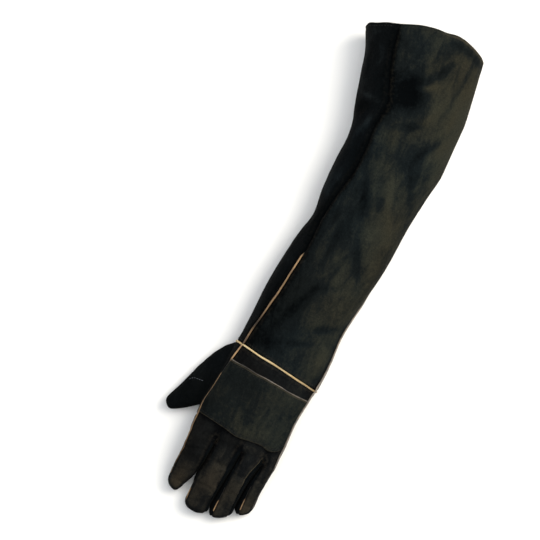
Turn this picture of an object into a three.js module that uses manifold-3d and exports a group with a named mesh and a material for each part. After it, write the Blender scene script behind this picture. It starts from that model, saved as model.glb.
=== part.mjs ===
// A long left-hand animal handling glove of black suede, lying on its palm with its back up.
// It is a tubular gauntlet of two panels, a hand of back, palm, thumb and finger side strips, a patch
// over the back of the hand, and piping in the seams. Every piece is a hollow wall or a cord.
// Units are millimetres. +Z is up from the surface that it lies on, +Y runs from the fingertips to the
// cuff, and +X points to the little finger's side. The origin is under the middle of its box.
import * as THREE from "three";
import Module from "manifold-3d";
import { mergeVertices } from "three/addons/utils/BufferGeometryUtils.js";

const wasm = await Module();
wasm.setup();

// Driving dimensions
const LEATHER = 2.2; // suede with its felted flesh side
const PATCH_LEATHER = 1.7;
const HEM_LEATHER = 1.4;
const HEM_WIDTH = 11;
const CLEARANCE = 0.3; // between pieces that touch on the real glove
const HEM_CLEARANCE = 1; // the folded leather lies looser than a seam
const PIPING_RADIUS = 1.15;
const WRIST_PIPING_RADIUS = 1.3;
const TIP_PIPING_RADIUS = 1;
const PATCH_EDGE_RADIUS = 0.9;
const SEAM_GAP = PIPING_RADIUS + 2 * CLEARANCE; // from a seam's middle to each panel's edge
const WRIST_GAP = WRIST_PIPING_RADIUS + 2 * CLEARANCE;
const SPLIT_GAP = 0.3; // from the middle to each edge of a seam without piping
const BODY_SHIFT = { x: 12.4, y: -0.4 }; // puts the middle of the whole glove's box on the origin

// The gauntlet and the hand as far as the finger roots, from the cuff down. left and right are the
// outline seen from above, mid the height of that outline, top and under the highest and lowest leather.
// seam is where the thumb-side seam shows from above, and low how many degrees below the outline
// the little finger's seam runs.
const BODY = [
  { y: 300, left: -78, right: 67, mid: 43, top: 98, under: 0, seam: -38, low: 40 },
  { y: 283, left: -73, right: 69.5, mid: 43, top: 98, under: 0, seam: -34, low: 42 },
  { y: 270, left: -67, right: 71.5, mid: 43, top: 97, under: 0, seam: -32, low: 44 },
  { y: 245, left: -57, right: 75, mid: 42, top: 94, under: 0, seam: -27, low: 46 },
  { y: 213, left: -49, right: 77.5, mid: 40, top: 90, under: 0, seam: -17, low: 46 },
  { y: 181, left: -42, right: 76.5, mid: 39, top: 88, under: 0, seam: -14, low: 44 },
  { y: 147, left: -38, right: 77, mid: 38, top: 86, under: 0, seam: -13.5, low: 42 },
  { y: 124, left: -38, right: 72.5, mid: 37, top: 84, under: 0, seam: -15, low: 40 },
  { y: 85, left: -39, right: 66.5, mid: 36, top: 80, under: 0, seam: -23, low: 36 },
  { y: 54, left: -37, right: 64, mid: 35, top: 77, under: 0, seam: -27.5, low: 32 },
  { y: 32, left: -43, right: 61.5, mid: 35, top: 75, under: 0, seam: -29, low: 27 },
  { y: 0, left: -48.5, right: 56, mid: 34, top: 72, under: 0, seam: -31.5, low: 19 },
  { y: -36, left: -52.5, right: 49.5, mid: 33, top: 69, under: 0, seam: -36.5, low: 8 },
  { y: -86, left: -55, right: 49, mid: 32, top: 65, under: 0, seam: -46.5, low: -4 },
  { y: -110, left: -57, right: 47.5, mid: 31, top: 63, under: 0, seam: -50, low: -5 },
  { y: -137, left: -59, right: 43, mid: 31, top: 60, under: 0.5, seam: -56.5, low: -6 },
  { y: -163, left: -61.5, right: 39.5, mid: 31, top: 57, under: 3, seam: -60.5, low: -6 },
  { y: -190, left: -64.5, right: 39.5, mid: 31.5, top: 53, under: 7, seam: -64.2, low: -5 },
  { y: -205, left: -65.5, right: 39, mid: 32, top: 50, under: 11, seam: -65.4, low: -3 },
  { y: -214, left: -65, right: 37.5, mid: 32.5, top: 47, under: 16, seam: -65, low: 0 },
  { y: -220, left: -62, right: 35, mid: 32.5, top: 42, under: 23, seam: -62, low: 0 },
];
const TOP_SQUARENESS = 2.25;
const UNDER_SQUARENESS = 2.7;
const UNDER_FULLNESS = 1.06; // over 1, the underside presses flat on what it lies on

// The cuff's rim: the middle of its sides, how much further the little finger's side reaches, how much
// the top's reach leans to that side, and how far the rim reaches on top and below.
const CUFF = { y: 277.5, lean: 8, skew: 2.5, top: 21.5, under: 6 };
const CUFF_ROUNDING = 1.8;

// Dents and folds of the upper leather: where each is centred, seen from above, its length and width,
// the turn of its length from +Y towards +X, and its depth, negative for a ridge.
const FOLDS = [
  { x: -40, y: 186, length: 34, width: 15, turn: -35, depth: 5.5 },
  { x: -27, y: 203, length: 26, width: 9, turn: -62, depth: -3 },
  { x: 4, y: 222, length: 36, width: 19, turn: 78, depth: 4.2 },
  { x: 26, y: 226, length: 44, width: 11, turn: 50, depth: -3 },
  { x: 52, y: 240, length: 60, width: 9, turn: 6, depth: 2.2 },
  { x: 62, y: 150, length: 40, width: 12, turn: 40, depth: 2.6 },
  { x: -34, y: 60, length: 30, width: 12, turn: -20, depth: 3.2 },
  { x: 20, y: 92, length: 70, width: 16, turn: -14, depth: 1.8 },
  { x: 28, y: -62, length: 44, width: 12, turn: 62, depth: 2.2 },
  { x: -8, y: -22, length: 60, width: 14, turn: 20, depth: 1.6 },
];

// The fingers from root to tip. Each has its middle and its half width, seen from above, at the root,
// the middle and the start of the tip, its thickness at the root and tip, and where its tip ends.
const FINGERS = [
  { name: "index", x: [-50.6, -51.6, -56], half: [14.2, 13.4, 11], thick: [28, 23], tip: -286 },
  { name: "middle", x: [-20.4, -22, -24.4], half: [14.6, 14.2, 13.2], thick: [28, 24], tip: -300 },
  { name: "ring", x: [8.6, 4.6, 2], half: [12.8, 11.2, 11.8], thick: [27, 23], tip: -297 },
  { name: "little", x: [30, 26.4, 25.4], half: [7.9, 9.6, 8.8], thick: [25, 21], tip: -284 },
];
const FINGER_START = -196; // inside the palm, where a finger is slimmer
const FINGER_START_SIZE = { half: 0.8, rise: 0.55 };
const FINGER_ROOT = -222;
const FINGER_ROOT_HEIGHT = 32.5;
const FINGER_SQUARENESS = 2.5;
const FINGER_BOW = 1.7; // how early the fingers start to drop to the surface, from 1
const TIP_REACH = 12; // length of the rounded tip
const STRIP_SHARE = 0.7; // of a finger's half width is back or palm leather, the rest side strip
const CROTCH = -208;

// The thumb from its tip back along its own axis. outer and inner are its reach to each side of the
// axis, seen from above, z is the height of its middle and rise half its thickness.
const THUMB = [
  { back: 0, outer: 0.4, inner: 0.4, z: 13, rise: 0.4 },
  { back: 1.2, outer: 4.4, inner: 4.4, z: 13, rise: 4.5 },
  { back: 4, outer: 7.4, inner: 7.2, z: 13, rise: 7.6 },
  { back: 9, outer: 10, inner: 9.6, z: 13, rise: 9.8 },
  { back: 18, outer: 14, inner: 12, z: 13.2, rise: 11.4 },
  { back: 32, outer: 20, inner: 14.5, z: 13.6, rise: 12.6 },
  { back: 50, outer: 27, inner: 16, z: 14.4, rise: 13.6 },
  { back: 70, outer: 33, inner: 17, z: 16, rise: 14.2 },
  { back: 88, outer: 35, inner: 14, z: 18, rise: 14 },
  { back: 97, outer: 32, inner: 8, z: 19, rise: 12 },
  { back: 103, outer: 26, inner: 2, z: 20, rise: 9 },
];
const THUMB_TIP = { x: -99.5, y: -203.5, turn: 46.6 }; // turn of its axis from +X, in degrees
const THUMB_SQUARENESS = 2.4;
const THUMB_SEAM_HEIGHT = 13.6;

// Lines across the hand, seen from above: their place at x = 0 and their slope.
const WRIST = { y: -116.6, slope: -0.157 };
const PATCH_TOP = { y: -134.6, slope: -0.1 };
const PATCH_END = { y: -202.5, slope: -0.035 };
const PATCH_MARGIN = 3; // from the side seams
const SIDE_PIPING_END = -271;
const TIP_PIPING = { from: 7, length: 27 }; // from a fingertip
const HIDDEN_PIPING_DEPTH = 1.3; // in the folded thumb-side seam above y = 40

// How finely each thing is divided.
const CORD_SIDES = 6;
const GAUNTLET_ROWS = 20;
const PALM_SIDES = 26;
const FINGER_SIDES = 12;
const THUMB_SIDES = 14;
const WRIST_PIPING_STEPS = 40;

const radians = THREE.MathUtils.degToRad;
const clamp = THREE.MathUtils.clamp;
const mix = THREE.MathUtils.lerp;
const lineAt = (line, x) => line.y + line.slope * x;
const power = (value, exponent) => Math.sign(value) * Math.abs(value) ** exponent;

// The smooth value of a table's column at a place y, through rows that run down in y.
function column(rows, key, y) {
  const at = clamp(y, rows[rows.length - 1].y, rows[0].y);
  let i = rows.findIndex((row, n) => n > 0 && at >= row.y);
  if (i < 1) i = 1;
  const [upper, lower] = [rows[i - 1], rows[i]];
  const slope = (n) => {
    const [a, b] = [rows[Math.max(n - 1, 0)], rows[Math.min(n + 1, rows.length - 1)]];
    return (b[key] - a[key]) / (b.y - a.y);
  };
  const step = lower.y - upper.y;
  const t = (at - upper.y) / step;
  const [m0, m1] = [slope(i - 1) * step, slope(i) * step];
  return (2 * t ** 3 - 3 * t * t + 1) * upper[key] + (t ** 3 - 2 * t * t + t) * m0
    + (3 * t * t - 2 * t ** 3) * lower[key] + (t ** 3 - t * t) * m1;
}

// A value given at a finger's root, middle and tip start, at a share of the way between them.
const alongThree = ([root, middle, tip], share) =>
  share < 0.5 ? mix(root, middle, share * 2) : mix(middle, tip, share * 2 - 1);

// How far the folds push the leather in at a place on the gauntlet.
function foldDepth(x, y) {
  return FOLDS.reduce((sum, fold) => {
    const [dx, dy] = [x - fold.x, y - fold.y];
    const turn = radians(fold.turn);
    const along = (dy * Math.cos(turn) + dx * Math.sin(turn)) / (fold.length / 2);
    const across = (dx * Math.cos(turn) - dy * Math.sin(turn)) / (fold.width / 2);
    return sum + fold.depth * Math.exp(-(along * along + across * across));
  }, 0);
}

// The point of the body at a place y and an angle round it, 0 at the little finger's side and 90 on
// top, moved inwards by inset.
function bodyPoint(y, angle, inset = 0) {
  const [left, right] = [column(BODY, "left", y), column(BODY, "right", y)];
  const [mid, top, under] = ["mid", "top", "under"].map((key) => Math.max(column(BODY, key, y), 0));
  const [c, s] = [Math.cos(radians(angle)), Math.sin(radians(angle))];
  const upper = s >= 0;
  const round = 2 / (upper ? TOP_SQUARENESS : UNDER_SQUARENESS);
  const x = (left + right) / 2 + ((right - left) / 2 - inset) * power(c, round);
  const pushed = upper ? foldDepth(x, y) * Math.min(1, 2 * s) : 0;
  const rise = upper ? top - mid - inset - pushed : (mid - under) * UNDER_FULLNESS - inset;
  const z = mid + rise * power(s, round);
  return new THREE.Vector3(x, y, Math.max(z, under + inset));
}

const outwardAt = (y, angle) => bodyPoint(y, angle, -1).sub(bodyPoint(y, angle, 1)).normalize();

// The angle round the body of the thumb-side seam, which the table gives as seen from above.
function thumbSeamAngle(y) {
  const [left, right, seam] = ["left", "right", "seam"].map((key) => column(BODY, key, y));
  const share = (seam - (left + right) / 2) / ((right - left) / 2);
  const cosine = Math.abs(clamp(share, -1, 1)) ** (TOP_SQUARENESS / 2);
  return 180 - THREE.MathUtils.radToDeg(Math.acos(cosine));
}
const littleSeamAngle = (y) => -column(BODY, "low", y);

// The finger's section at a place y: its middle, half width and half thickness.
function fingerSection(finger, y, inset = 0) {
  const rootShare = clamp((FINGER_START - y) / (FINGER_START - FINGER_ROOT), 0, 1);
  const tipStart = finger.tip + TIP_REACH;
  const share = clamp((FINGER_ROOT - y) / (FINGER_ROOT - tipStart), 0, 1);
  const thick = mix(finger.thick[0], finger.thick[1], share) / 2;
  const drop = share * share * (FINGER_BOW - (FINGER_BOW - 1) * share);
  const tipReach = clamp((tipStart - y) / (TIP_REACH - inset), 0, 1);
  const roundness = Math.sqrt(Math.max(1 - tipReach ** 2, 0.0004)); // never quite a point
  return {
    x: alongThree(finger.x, share),
    half: (alongThree(finger.half, share) * mix(FINGER_START_SIZE.half, 1, rootShare) - inset) * roundness,
    z: mix(FINGER_ROOT_HEIGHT, finger.thick[1] / 2 + CLEARANCE, drop),
    rise: (thick * mix(FINGER_START_SIZE.rise, 1, rootShare) - inset) * roundness,
  };
}

// The height of the seam between back and palm at a place seen from above.
function seamHeight(x, y) {
  if (y > FINGER_ROOT) {
    const [thumbSide, littleSide] = [bodyPoint(y, thumbSeamAngle(y)), bodyPoint(y, littleSeamAngle(y))];
    return mix(thumbSide.z, littleSide.z, (x - thumbSide.x) / (littleSide.x - thumbSide.x));
  }
  const middles = FINGERS.map((finger) => fingerSection(finger, Math.max(y, finger.tip)));
  const next = middles.findIndex((section) => section.x > x);
  if (next === 0) return middles[0].z;
  if (next < 0) return middles[middles.length - 1].z;
  const [a, b] = [middles[next - 1], middles[next]];
  return mix(a.z, b.z, (x - a.x) / (b.x - a.x));
}

// Closed geometry from rings of an even number of points, joined end to end, or closed at each end by
// strips between the ring's two halves.
function loftGeometry(rings, joined = false) {
  const sides = rings[0].length;
  const faces = [];
  const quad = (a, b, c, d) => faces.push(a, b, c, a, c, d);
  const steps = joined ? rings.length : rings.length - 1;
  for (let i = 0; i < steps; i++)
    for (let j = 0; j < sides; j++) {
      const [ring, next] = [i * sides, ((i + 1) % rings.length) * sides];
      const beside = (j + 1) % sides;
      quad(ring + j, ring + beside, next + beside, next + j);
    }
  if (!joined) {
    const last = (rings.length - 1) * sides;
    for (let j = 0; j < sides / 2 - 1; j++) {
      const across = sides - 1 - j;
      quad(j, across, across - 1, j + 1);
      quad(last + j, last + j + 1, last + across - 1, last + across);
    }
  }
  return new THREE.BufferGeometry().setFromPoints(rings.flat()).setIndex(faces);
}

// A sheet as a closed wall over the places us and vs. pointAt(u, v, depth) gives its outer skin at depth 0
// and its inner skin at depth 1, and joined makes it a tube round u.
function sheetGeometry(us, vs, pointAt, joined = false) {
  const rings = us.map((u) => [
    ...vs.map((v) => pointAt(u, v, 1)),
    ...[...vs].reverse().map((v) => pointAt(u, v, 0)),
  ]);
  return loftGeometry(rings, joined);
}

// A geometry as a solid that can be joined and cut, and back.
function solidOf(geometry) {
  const bare = new THREE.BufferGeometry().setAttribute("position", geometry.getAttribute("position"));
  if (geometry.index) bare.setIndex(geometry.index);
  const merged = mergeVertices(bare, 1e-4);
  return new wasm.Manifold(new wasm.Mesh({
    numProp: 3,
    vertProperties: merged.attributes.position.array,
    triVerts: new Uint32Array(merged.index.array),
  }));
}
function geometryOf(solid) {
  const mesh = solid.getMesh();
  return new THREE.BufferGeometry()
    .setAttribute("position", new THREE.BufferAttribute(mesh.vertProperties, mesh.numProp))
    .setIndex(new THREE.BufferAttribute(mesh.triVerts, 1));
}
const largest = (solid) => solid.decompose().sort((a, b) => b.volume() - a.volume())[0];
const without = (solid, cutters) => cutters.reduce((left, cutter) => left.subtract(cutter), solid);

// Evenly spaced places from one value to another, both included.
const spaced = (from, to, count) => Array.from({ length: count + 1 }, (_, i) => mix(from, to, i / count));

// The shares of its half width and half thickness at which a squarish oval's points lie.
const oval = (sides, squareness) => Array.from({ length: sides }, (_, i) => {
  const angle = (2 * Math.PI * i) / sides;
  return [power(Math.cos(angle), 2 / squareness), power(Math.sin(angle), 2 / squareness)];
});

// A round cord through places, each with its point and the way out of the leather there.
function cordGeometry(places, radius, joined = false) {
  const last = places.length - 1;
  const rings = places.map(({ point, out }, i) => {
    const before = places[joined ? (i + last) % (last + 1) : Math.max(i - 1, 0)].point;
    const after = places[joined ? (i + 1) % (last + 1) : Math.min(i + 1, last)].point;
    const ahead = after.clone().sub(before).normalize();
    const side = out.clone().cross(ahead).normalize();
    const up = ahead.clone().cross(side);
    return oval(CORD_SIDES, 2).map(([across, rise]) =>
      point.clone().addScaledVector(side, radius * across).addScaledVector(up, radius * rise));
  });
  return loftGeometry(rings, joined);
}

// Materials
const suede = (colour) => new THREE.MeshStandardMaterial({ color: colour, roughness: 0.95, metalness: 0 });
const backSuede = suede("#26261f");
const palmSuede = suede("#131517");
const goldPiping = suede("#c7a86c");
const tanPiping = suede("#94745a");
const greyPiping = suede("#66635c");

const glove = new THREE.Group();
function addPiece(name, geometry, material) {
  const mesh = new THREE.Mesh(geometry, material);
  mesh.name = name;
  glove.add(mesh);
}

// The gauntlet: two panels that meet at the side seams, each a wall with the piping's gap at its edges.
function rimAt(angle) {
  const [c, s] = [Math.cos(radians(angle)), Math.sin(radians(angle))];
  const side = CUFF.y + CUFF.lean * c;
  return s > 0 ? side + CUFF.top * s ** CUFF_ROUNDING + 2 * CUFF.skew * s * c : side + CUFF.under * s;
}

// The place on the gauntlet at a share v of the way from rim to wrist, along a line whose angle depends
// on y. y and the angle are found together, in a few passes.
function gauntletPlace(angleAt, v, rimInset = 0) {
  let y = 0;
  let angle = angleAt(0);
  for (let pass = 0; pass < 4; pass++) {
    const end = lineAt(WRIST, bodyPoint(WRIST.y, angleAt(WRIST.y)).x) + WRIST_GAP;
    y = mix(rimAt(angleAt(CUFF.y)) - rimInset, end, v);
    angle = angleAt(y);
  }
  return { y, angle };
}
// The degrees that an arc of leather takes at a place on the body.
const degreesFor = (y, angle, arc) => arc / bodyPoint(y, angle + 0.5).distanceTo(bodyPoint(y, angle - 0.5));
function gauntletPanel(fromAngle, toAngle, columns) {
  const pointAt = (u, v, depth) => {
    const angleAt = (y) => {
      const [from, to] = [fromAngle(y), toAngle(y)];
      return mix(from + degreesFor(y, from, SEAM_GAP), to - degreesFor(y, to, SEAM_GAP), u);
    };
    const { y, angle } = gauntletPlace(angleAt, v);
    return bodyPoint(y, angle, depth * LEATHER);
  };
  return sheetGeometry(spaced(0, 1, columns), spaced(0, 1, GAUNTLET_ROWS), pointAt);
}
addPiece("gauntlet_back", gauntletPanel(littleSeamAngle, thumbSeamAngle, 13), backSuede);
addPiece("gauntlet_palm", gauntletPanel(thumbSeamAngle, (y) => 360 + littleSeamAngle(y), 16), palmSuede);

// The hem: the rim's leather turned in and sewn down inside the cuff.
const hemPoint = (u, v, depth) => {
  const { y, angle } = gauntletPlace(() => 360 * u, 0, mix(0.4, HEM_WIDTH, v));
  return bodyPoint(y, angle, LEATHER + HEM_CLEARANCE + depth * HEM_LEATHER);
};
addPiece("cuff_hem", sheetGeometry(spaced(0, 1, 34).slice(1), [0, 1], hemPoint, true), backSuede);

// A cord along a side seam of the gauntlet, sunk into the leather by sunk(y).
function gauntletPiping(angleAt, sunk) {
  const shares = [0.01, ...spaced(0, 1, GAUNTLET_ROWS).slice(1, -1), 0.993];
  return cordGeometry(shares.map((v) => {
    const { y, angle } = gauntletPlace(angleAt, v);
    const out = outwardAt(y, angle);
    return { point: bodyPoint(y, angle).addScaledVector(out, -sunk(y)), out };
  }), PIPING_RADIUS);
}
const hiddenTowardsCuff = (y) => mix(CLEARANCE, HIDDEN_PIPING_DEPTH, THREE.MathUtils.smoothstep(y, 5, 40));
addPiece("gauntlet_thumb_side_piping", gauntletPiping(thumbSeamAngle, hiddenTowardsCuff), tanPiping);
addPiece("gauntlet_little_side_piping", gauntletPiping(littleSeamAngle, () => CLEARANCE), greyPiping);

// The wrist piping: a closed ring in the slanted seam between gauntlet and hand.
const wristRing = spaced(0, 360, WRIST_PIPING_STEPS).slice(1).map((angle) => {
  const y = lineAt(WRIST, bodyPoint(WRIST.y, angle).x);
  const out = outwardAt(y, angle);
  const point = bodyPoint(y, angle).addScaledVector(out, -CLEARANCE);
  point.z = Math.max(point.z, WRIST_PIPING_RADIUS);
  return { point, out };
});
addPiece("wrist_piping", cordGeometry(wristRing, WRIST_PIPING_RADIUS, true), goldPiping);

// The hand as one hollow skin: palm, fingers and thumb joined, less the same shapes one leather smaller.
function palmLoft(inset) {
  const ys = [-98, -118, -137, -155, -172, -188, -200, CROTCH, -215, -220];
  return solidOf(loftGeometry(ys.map((y) =>
    spaced(0, 360, PALM_SIDES).slice(1).map((angle) => {
      const point = bodyPoint(y, angle, inset);
      if (y <= CROTCH) point.y += inset;
      return point;
    }))));
}
function fingerLoft(finger, inset) {
  const tipStart = finger.tip + TIP_REACH;
  const ys = [FINGER_START, -211, ...spaced(FINGER_ROOT, tipStart, 4),
    ...[0.5, 0.83, 1].map((share) => tipStart - (TIP_REACH - inset) * share)];
  return solidOf(loftGeometry(ys.map((y) => {
    const section = fingerSection(finger, y, inset);
    return oval(FINGER_SIDES, FINGER_SQUARENESS).map(([across, up]) =>
      new THREE.Vector3(section.x + section.half * across, y, section.z + section.rise * up));
  })));
}
function thumbLoft(inset) {
  const turn = radians(THUMB_TIP.turn);
  const back = new THREE.Vector3(Math.cos(turn), Math.sin(turn), 0);
  const outer = new THREE.Vector3(-Math.sin(turn), Math.cos(turn), 0);
  const shrunk = (value) => Math.max(value - inset, CLEARANCE);
  return solidOf(loftGeometry(THUMB.map((row) => {
    const from = new THREE.Vector3(THUMB_TIP.x, THUMB_TIP.y, row.z)
      .addScaledVector(back, row.back < TIP_REACH ? row.back + inset : row.back);
    return oval(THUMB_SIDES, THUMB_SQUARENESS).map(([across, up]) => {
      const point = from.clone().addScaledVector(outer, shrunk(across > 0 ? row.outer : row.inner) * across);
      point.z += shrunk(row.rise) * up;
      return point;
    });
  })));
}
const handAt = (inset) =>
  [...FINGERS.map((finger) => fingerLoft(finger, inset)), thumbLoft(inset)]
    .reduce((joined, piece) => joined.add(piece), palmLoft(inset));
const handSkin = handAt(0).subtract(handAt(LEATHER));

// Columns and slabs that cut the hand into its panels. REACH takes them past the hand on every side.
const REACH = { left: -150, right: 100, tips: -330, wrist: -50, low: -10, high: 150 };
function prism(outline, low = REACH.low, high = REACH.high) {
  const shape = new THREE.Shape(outline.map(([x, y]) => new THREE.Vector2(x, y)));
  const geometry = new THREE.ExtrudeGeometry(shape, { depth: high - low, bevelEnabled: false });
  return solidOf(geometry.translate(0, 0, low));
}
const tipCorners = [[REACH.left, REACH.tips], [REACH.right, REACH.tips]];
const wristCorners = (wristAt) => [REACH.right, REACH.left].map((x) => [x, wristAt(x)]);
const slab = (low, high) => prism([...tipCorners, ...wristCorners(() => REACH.wrist)], low, high);
const handSide = prism([...tipCorners, ...wristCorners((x) => lineAt(WRIST, x) - WRIST_GAP)]);

// Everything above (side 1) or below (side -1) the seam between back and palm, less half the seam's gap,
// which holds piping as far as SIDE_PIPING_END.
function seamCutter(side) {
  const pipedTo = SIDE_PIPING_END - 1;
  const ys = [...spaced(-96, -200, 8), CROTCH, -216, FINGER_ROOT, ...spaced(-230, -270, 5),
    pipedTo, pipedTo - 1, ...spaced(-277, -307, 6)];
  const xs = [REACH.left, ...spaced(-68, 44, 8), REACH.right];
  const far = side > 0 ? REACH.high : REACH.low;
  return solidOf(sheetGeometry(ys, xs, (y, x, depth) => {
    const seam = seamHeight(x, y) + side * (y >= pipedTo ? SEAM_GAP : SPLIT_GAP);
    return new THREE.Vector3(x, y, (side > 0) === (depth === 0) ? far : seam);
  }));
}
const [aboveSeam, belowSeam] = [seamCutter(1), seamCutter(-1)];

// The side strip between two fingers: a tongue-shaped column from the crotch past both tips.
function stripColumn([left, right], grow) {
  const ys = [-215, FINGER_ROOT, -238, -254, -270, -284, -306];
  const edge = (finger, side) => ys.map((y) => {
    const section = fingerSection(finger, Math.max(y, finger.tip + TIP_REACH));
    return [section.x + side * (STRIP_SHARE * section.half - grow), y];
  });
  const [near, far] = [edge(left, 1), edge(right, -1)];
  return prism([[(near[0][0] + far[0][0]) / 2, CROTCH + 2 * grow], ...near, ...far.reverse()]);
}

// The thumb's wing: what lies outside the thumb-side seam, from the wrist to the index finger.
const seamLine = spaced(-98, -197, 8).map((y) => [bodyPoint(y, thumbSeamAngle(y)).x, y]);
const besideIndex = [[-68, -200], [-74, -216]];
function thumbColumn(grow) {
  const edge = [...seamLine, ...besideIndex].map(([x, y]) => [x + grow, y]);
  return prism([[REACH.left, edge[0][1]], ...edge, [REACH.left, edge[edge.length - 1][1]]]);
}

const hand = handSkin.intersect(handSide);
const pairs = FINGERS.slice(1).map((finger, i) => [FINGERS[i], finger]);
const wideColumns = pairs.map((pair) => stripColumn(pair, CLEARANCE));
const handBack = without(hand.intersect(aboveSeam), wideColumns);
const handPalm = without(hand.intersect(belowSeam), [...wideColumns, thumbColumn(CLEARANCE)]);
addPiece("hand_back", geometryOf(largest(handBack)), backSuede);
addPiece("hand_palm", geometryOf(largest(handPalm)), palmSuede);
for (const pair of pairs) {
  const strip = hand.intersect(stripColumn(pair, 0));
  addPiece(`side_strip_${pair[0].name}_${pair[1].name}`, geometryOf(largest(strip)), palmSuede);
}

// The thumb: an upper and a lower half that meet round its edge.
const wing = hand.intersect(belowSeam).intersect(thumbColumn(0));
const thumbBack = wing.intersect(slab(THUMB_SEAM_HEIGHT + SPLIT_GAP, REACH.high));
const thumbFront = wing.intersect(slab(REACH.low, THUMB_SEAM_HEIGHT - SPLIT_GAP));
addPiece("thumb_back", geometryOf(largest(thumbBack)), palmSuede);
addPiece("thumb_front", geometryOf(largest(thumbFront)), palmSuede);

// The patch on the back of the hand, laid over it from side seam to side seam.
function patchPoint(u, v, depth) {
  let y = PATCH_TOP.y;
  let angle = 90;
  for (let pass = 0; pass < 4; pass++) {
    const [from, to] = [littleSeamAngle(y), thumbSeamAngle(y)];
    angle = mix(from + degreesFor(y, from, PATCH_MARGIN), to - degreesFor(y, to, PATCH_MARGIN), u);
    const x = bodyPoint(y, angle).x;
    y = mix(lineAt(PATCH_TOP, x), lineAt(PATCH_END, x), v);
  }
  return bodyPoint(y, angle, -2 * CLEARANCE - (1 - depth) * PATCH_LEATHER);
}
addPiece("back_patch", sheetGeometry(spaced(0, 1, 14), spaced(0, 1, 5), patchPoint), backSuede);

// The grey raw edge that stands up along the patch's upper side.
const patchEdge = spaced(0.02, 0.98, 20).map((u) => {
  const point = patchPoint(u, 0, 0);
  const out = point.clone().sub(patchPoint(u, 0, 1)).normalize();
  point.y += PATCH_EDGE_RADIUS + CLEARANCE;
  return { point: point.addScaledVector(out, -PATCH_EDGE_RADIUS / 2), out };
});
addPiece("patch_edge", cordGeometry(patchEdge, PATCH_EDGE_RADIUS), greyPiping);

// Piping down one side of the hand (1 the little finger's, -1 the index finger's), from the wrist to
// the fingertip. Past the crotch it follows the outer of the palm's side and the finger's.
function sidePiping(finger, side, angleAt) {
  const start = lineAt(WRIST, bodyPoint(WRIST.y, angleAt(WRIST.y)).x) - 2 * SEAM_GAP;
  const onPalm = spaced(start, CROTCH, 12).map((y) => (
    { point: bodyPoint(y, angleAt(y)), out: outwardAt(y, angleAt(y)) }));
  const onFinger = spaced(-214, SIDE_PIPING_END, 8).map((y) => {
    const section = fingerSection(finger, y);
    const palmReach = y > -218 ? side * bodyPoint(y, angleAt(y)).x : -Infinity;
    const x = side * Math.max(side * section.x + section.half, palmReach);
    return { point: new THREE.Vector3(x, y, seamHeight(x, y)), out: new THREE.Vector3(side, 0, 0) };
  });
  return cordGeometry([...onPalm, ...onFinger], PIPING_RADIUS);
}
addPiece("index_side_piping", sidePiping(FINGERS[0], -1, thumbSeamAngle), tanPiping);
addPiece("little_side_piping", sidePiping(FINGERS[3], 1, littleSeamAngle), greyPiping);

// Short piping by three fingertips, along the seam on the side that faces the thumb.
for (const finger of FINGERS.slice(1)) {
  const from = finger.tip + TIP_PIPING.from;
  const up = (1 - STRIP_SHARE ** FINGER_SQUARENESS) ** (1 / FINGER_SQUARENESS);
  const out = new THREE.Vector3(-0.62, 0, 0.78);
  const places = spaced(from + TIP_PIPING.length, from, 7).map((y) => {
    const section = fingerSection(finger, y);
    const seam = new THREE.Vector3(section.x - STRIP_SHARE * section.half, y, section.z + up * section.rise);
    return { point: seam.addScaledVector(out, TIP_PIPING_RADIUS), out };
  });
  addPiece(`${finger.name}_tip_piping`, cordGeometry(places, TIP_PIPING_RADIUS), tanPiping);
}

glove.position.set(BODY_SHIFT.x, BODY_SHIFT.y, 0);
export default glove;
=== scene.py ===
"""A long left-hand animal handling glove of black suede, lying on its palm with its back up."""
import itertools
import math

import bpy
import numpy as np
from mathutils import Matrix


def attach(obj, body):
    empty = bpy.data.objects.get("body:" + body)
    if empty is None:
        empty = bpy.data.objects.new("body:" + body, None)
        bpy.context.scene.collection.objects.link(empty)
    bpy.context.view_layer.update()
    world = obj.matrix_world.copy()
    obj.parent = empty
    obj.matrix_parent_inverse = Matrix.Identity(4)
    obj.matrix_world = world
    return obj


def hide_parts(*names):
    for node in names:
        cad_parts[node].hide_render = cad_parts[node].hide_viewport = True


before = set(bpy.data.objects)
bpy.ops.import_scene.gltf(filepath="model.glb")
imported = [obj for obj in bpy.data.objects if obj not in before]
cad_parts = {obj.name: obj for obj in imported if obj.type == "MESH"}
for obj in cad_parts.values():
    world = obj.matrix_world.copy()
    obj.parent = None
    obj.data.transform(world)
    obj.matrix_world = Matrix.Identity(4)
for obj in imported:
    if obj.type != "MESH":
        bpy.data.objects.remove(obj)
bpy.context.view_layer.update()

# The glove's own measures, in millimetres
# +Z is up from the surface, +Y runs from the fingertips to the cuff, +X to the little finger's side.
PLACE = np.array([12.4, -0.4, 0.0])  # moves these measures to the frame's origin
LEATHER = 2.2
FOLDED_RIM = 2.3  # radius of the leather's turn over the cuff's rim
HEM_WIDTH = 11
HEM_STITCHES = 5.0  # from the rim
SEAM_START = 0.7  # from a seam's middle to where the leather shows
# How deep and how wide leather rolls in at a seam with piping, and at one without.
PIPED, PLAIN = (1.5, 3.4), (1.0, 2.6)
REST_GAP = 0.05  # between the surface and the leather that rests on it
SHARP_ANGLE = math.radians(55)  # between faces that don't shade into each other

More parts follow.
